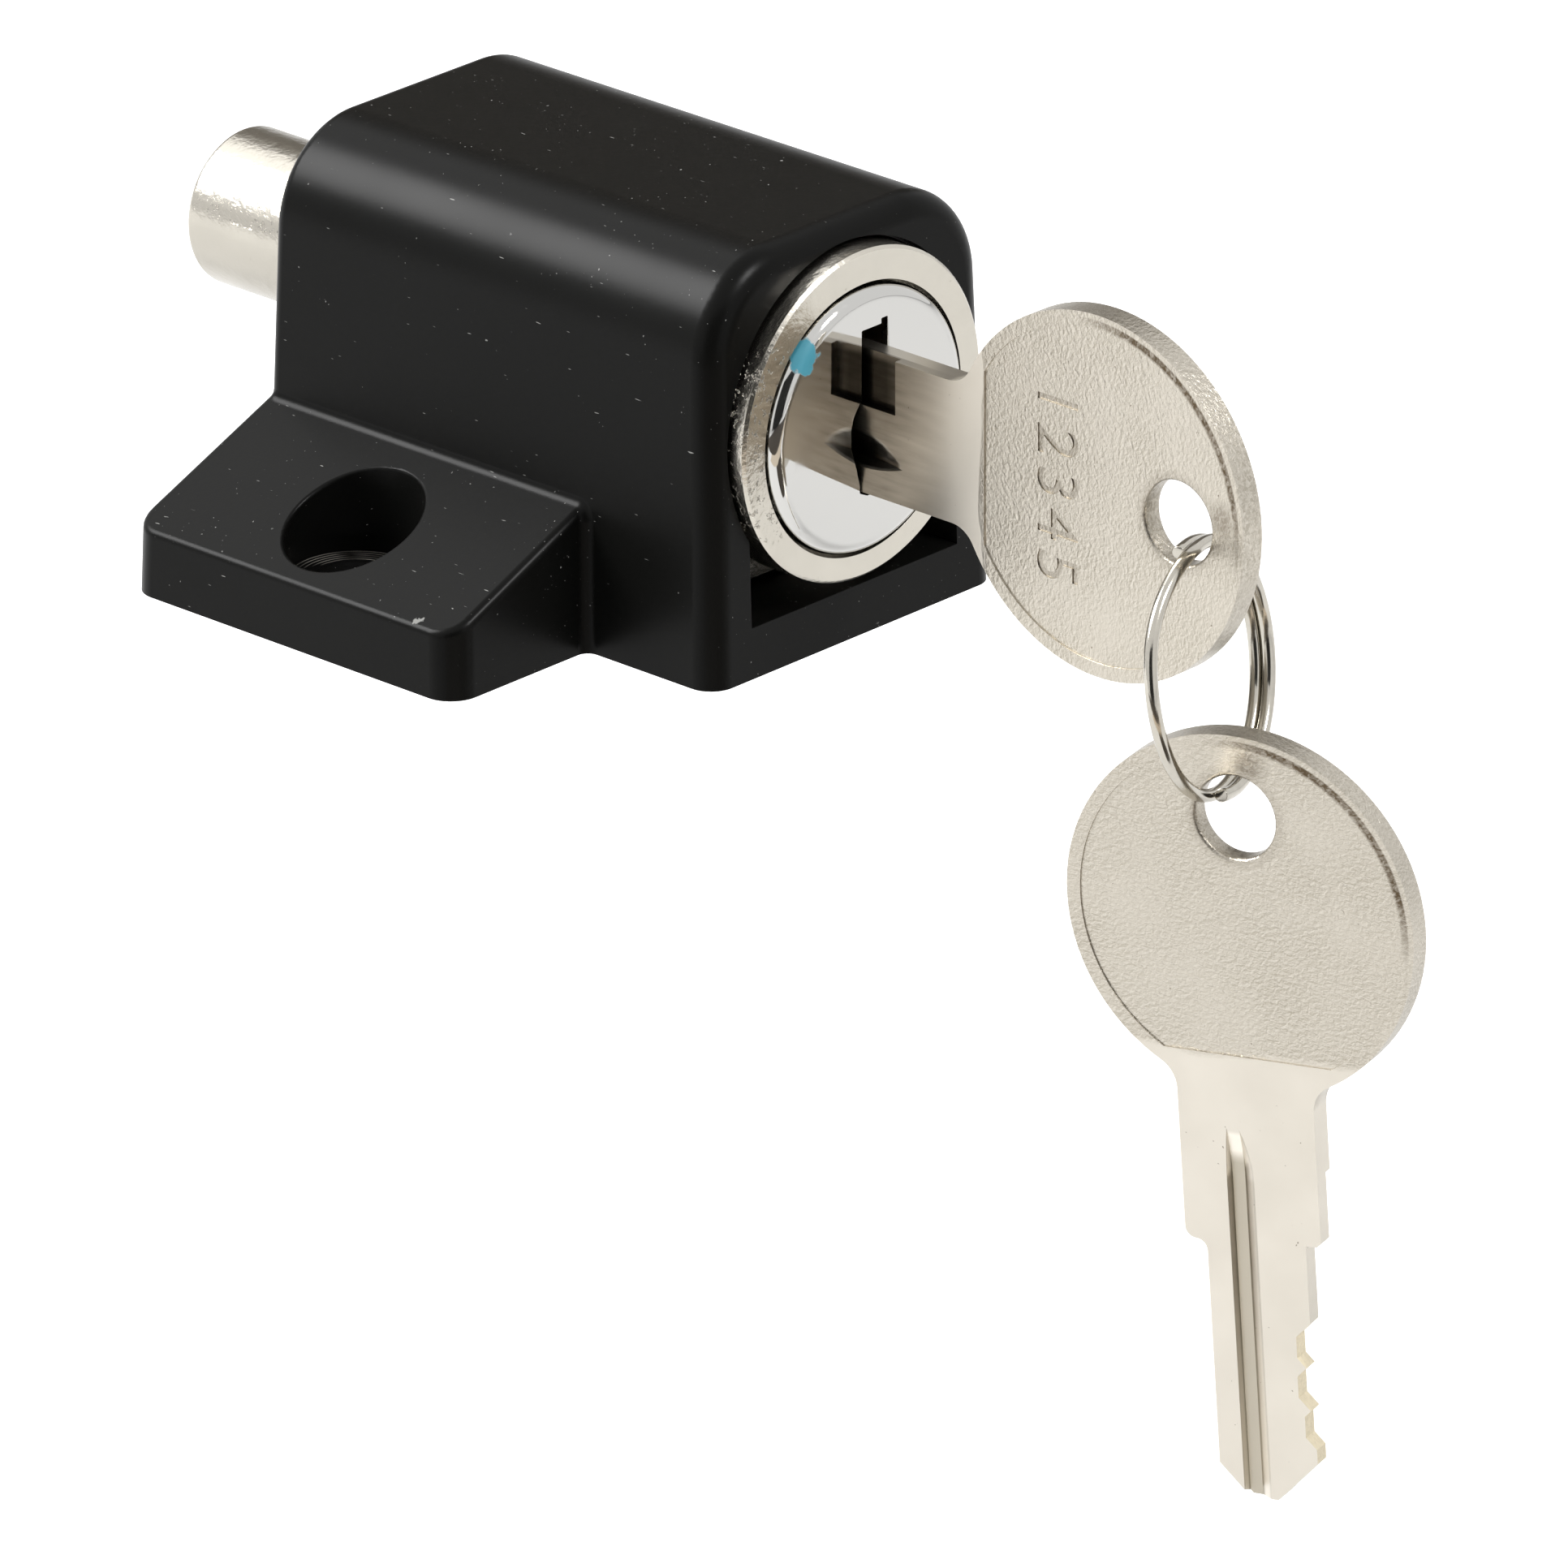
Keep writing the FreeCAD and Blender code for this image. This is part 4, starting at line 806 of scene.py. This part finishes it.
class LOCK_OT_inner_parts(bpy.types.Operator):
    """Finish the parts inside: plug, wafers, pins, lug and springs"""
    bl_idname = "lock.inner_parts"
    bl_label = "Inner parts"

    def execute(self, context):
        colours = context.scene.lock_colours
        # The plug is painted this dark brown as a painted shade for the keyway
        shade_brass = plain_metal("shade_painted_brass", colours.shade_brass, 0.5, 0.3)
        stamped = plain_metal("stamped_brass", tint(colours.brass, 0.9), 0.3, 0.2)
        ground = plain_metal("ground_steel", colours.steel, 0.2, 0.15)
        sheet = plain_metal("stamped_steel", tint(colours.steel, 0.85), 0.32, 0.25)
        spring = plain_metal("spring_wire", tint(colours.steel, 0.7), 0.24, 0.4)
        finishes = {"plug": shade_brass, "locking_lug": sheet, "return_spring": spring,
                    "stop_pin": ground, "bolt_cross_pin": ground, "plug_keeper_pin": ground}
        for number in range(1, WAFERS + 1):
            finishes["wafer_%d" % number] = stamped
            finishes["wafer_spring_%d" % number] = spring
        for node, material in finishes.items():
            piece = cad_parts[node]
            piece.data.materials.clear()
            piece.data.materials.append(material)
        return {"FINISHED"}


class LOCK_OT_stage(bpy.types.Operator):
    """Set the pale floor, the soft light and the photograph's camera"""
    bl_idname = "lock.stage"
    bl_label = "Stage"

    def execute(self, context):
        floor_height = cad_box[0][2] - context.scene.lock_sizes.floor_drop
        self.floor(context, floor_height)
        self.world(context)
        for lamp in LAMPS:
            self.lamp(*lamp)
        self.cards(floor_height)
        self.camera(context)
        context.scene.view_settings.view_transform = "Standard"
        return {"FINISHED"}

    def floor(self, context, floor_height):
        deselect()
        bpy.ops.mesh.primitive_plane_add(size=FLOOR_SIZE, location=(0.0, 0.0, floor_height))
        floor = context.object
        floor.name = "floor"
        material, tree, shader = start_material("white_paper_floor")
        feed(tree, shader, {"Base Color": PAPER, "Roughness": 0.9, "Specular IOR Level": 0.0})
        path = add(tree, "LightPath")
        mirrored = maths(tree, "MULTIPLY", path.outputs["Is Glossy Ray"], FLOOR_GLOSSY_LIFT)
        lift = maths(tree, "MULTIPLY_ADD", path.outputs["Is Camera Ray"], FLOOR_LIFT, mirrored)
        glow = add(tree, "Emission", {"Color": WHITE, "Strength": lift})
        both = add(tree, "AddShader", {0: shader.outputs[0], 1: glow.outputs[0]})
        feed(tree, tree.nodes["Material Output"], {"Surface": both.outputs[0]})
        floor.data.materials.append(material)

    def world(self, context):
        world = bpy.data.worlds.new("studio")
        context.scene.world = world
        world.use_nodes = True
        tree = world.node_tree
        tree.nodes.clear()
        path = add(tree, "LightPath")
        seen = largest(tree, path.outputs["Is Glossy Ray"], path.outputs["Is Transmission Ray"],
                       path.outputs["Is Camera Ray"])
        soft = add(tree, "Background", {"Color": WHITE, "Strength": WORLD_LIGHT})
        white = add(tree, "Background", {"Color": WHITE, "Strength": 1.0})
        mixed = add(tree, "MixShader", {0: seen, 1: soft.outputs[0], 2: white.outputs[0]})
        add(tree, "OutputWorld", {"Surface": mixed.outputs[0]})

    def lamp(self, name, way, distance, size, power):
        deselect()
        place = Vector(way).normalized() * distance
        bpy.ops.object.light_add(type="AREA", location=place)
        lamp = bpy.context.object
        lamp.name = name
        lamp.data.shape = "SQUARE"
        lamp.data.size = size
        lamp.data.energy = power
        lamp.rotation_euler = place.to_track_quat("Z", "Y").to_euler()

    def cards(self, floor_height):
        """Dark cards, seen only in the metal and the coat: they draw the dark lines along wire and edges."""
        paints = {name: self.card_paint(name, colour) for name, colour in CARD_PAINTS.items()}
        ahead = Vector((math.sin(VIEW_TURN), -math.cos(VIEW_TURN), 0.0))
        beside = Vector((-ahead.y, ahead.x, 0.0))
        way = Vector((0.67, 0.63, 0.39)).normalized()
        self.card("card_behind_camera", ahead * 1.6 + UP * 0.6, ahead, 1.7, 1.3, paints["black_card"])
        self.card("card_at_back", way * 1.6, way, 1.2, 1.0, paints["grey_card"])
        floor = UP * (floor_height + FLOOR_CARD_RISE)
        for name, forward, sideways, width, height, paint in FLOOR_CARDS:
            self.card(name, floor + ahead * forward + beside * sideways, UP, width, height, paints[paint])

    def card_paint(self, name, colour):
        """Matt paint of a card: it takes light out of what the metal mirrors."""
        material, tree, shader = start_material(name)
        feed(tree, shader, {"Base Color": colour, "Roughness": 1.0})
        return material

    def card(self, name, place, facing, width, height, material):
        deselect()
        bpy.ops.mesh.primitive_plane_add(size=1.0, location=place)
        card = bpy.context.object
        card.name = name
        if facing is UP:
            card.rotation_euler = (0.0, 0.0, VIEW_TURN)
        else:
            card.rotation_euler = facing.to_track_quat("Z", "Y").to_euler()
        card.scale = (width, height, 1.0)
        card.data.materials.append(material)
        card.visible_camera = False
        card.visible_diffuse = False
        card.visible_shadow = False
        card.visible_transmission = False

    def camera(self, context):
        deselect()
        bpy.ops.object.camera_add()
        camera = context.object
        camera.name = "photo_camera"
        back = Vector((math.sin(VIEW_TURN) * math.cos(VIEW_TILT), -math.cos(VIEW_TURN) * math.cos(VIEW_TILT),
                       math.sin(VIEW_TILT)))
        level = Vector((math.cos(VIEW_TURN), math.sin(VIEW_TURN), 0.0))
        rise = back.cross(level)
        right = level * math.cos(VIEW_ROLL) + rise * math.sin(VIEW_ROLL)
        up = rise * math.cos(VIEW_ROLL) - level * math.sin(VIEW_ROLL)
        right_off = (VIEW_SHIFT[0] - VIEW_SIZE / 2.0) / VIEW_FOCAL * VIEW_DISTANCE
        up_off = -(VIEW_SHIFT[1] - VIEW_SIZE / 2.0) / VIEW_FOCAL * VIEW_DISTANCE
        place = VIEW_AIM + back * VIEW_DISTANCE - right * right_off - up * up_off
        turn = Matrix((right, up, back)).transposed().to_4x4()
        camera.matrix_world = Matrix.Translation(place) @ turn
        camera.data.sensor_width = VIEW_SENSOR
        camera.data.lens = VIEW_FOCAL / VIEW_SIZE * VIEW_SENSOR
        camera.data.clip_start, camera.data.clip_end = VIEW_CLIP
        context.scene.camera = camera


class LOCK_PT_panel(bpy.types.Panel):
    """Lists the lock's sizes, colours and pieces"""
    bl_idname = "LOCK_PT_panel"
    bl_label = "Sliding door lock"
    bl_space_type = "VIEW_3D"
    bl_region_type = "UI"
    bl_category = "Door lock"

    def draw(self, context):
        for group in (context.scene.lock_sizes, context.scene.lock_colours):
            box = self.layout.box()
            for name in group.bl_rna.properties.keys():
                if name not in ("rna_type", "name"):
                    box.prop(group, name)
        for operator in OPERATORS:
            self.layout.operator(operator.bl_idname)


OPERATORS = (LOCK_OT_housing, LOCK_OT_barrel, LOCK_OT_bolt, LOCK_OT_face_cap, LOCK_OT_keys,
             LOCK_OT_split_ring, LOCK_OT_inner_parts, LOCK_OT_stage)
CLASSES = (LockSizes, LockColours) + OPERATORS + (LOCK_PT_panel,)


def register():
    for item in CLASSES:
        bpy.utils.register_class(item)
    bpy.types.Scene.lock_sizes = PointerProperty(type=LockSizes)
    bpy.types.Scene.lock_colours = PointerProperty(type=LockColours)


def unregister():
    del bpy.types.Scene.lock_colours
    del bpy.types.Scene.lock_sizes
    for item in reversed(CLASSES):
        bpy.utils.unregister_class(item)


def main():
    register()
    bpy.ops.lock.housing()
    bpy.ops.lock.barrel()
    bpy.ops.lock.bolt()
    bpy.ops.lock.face_cap()
    bpy.ops.lock.keys()
    bpy.ops.lock.split_ring()
    bpy.ops.lock.inner_parts()
    bpy.ops.lock.stage()
    bpy.context.view_layer.update()


if __name__ == "__main__":
    main()
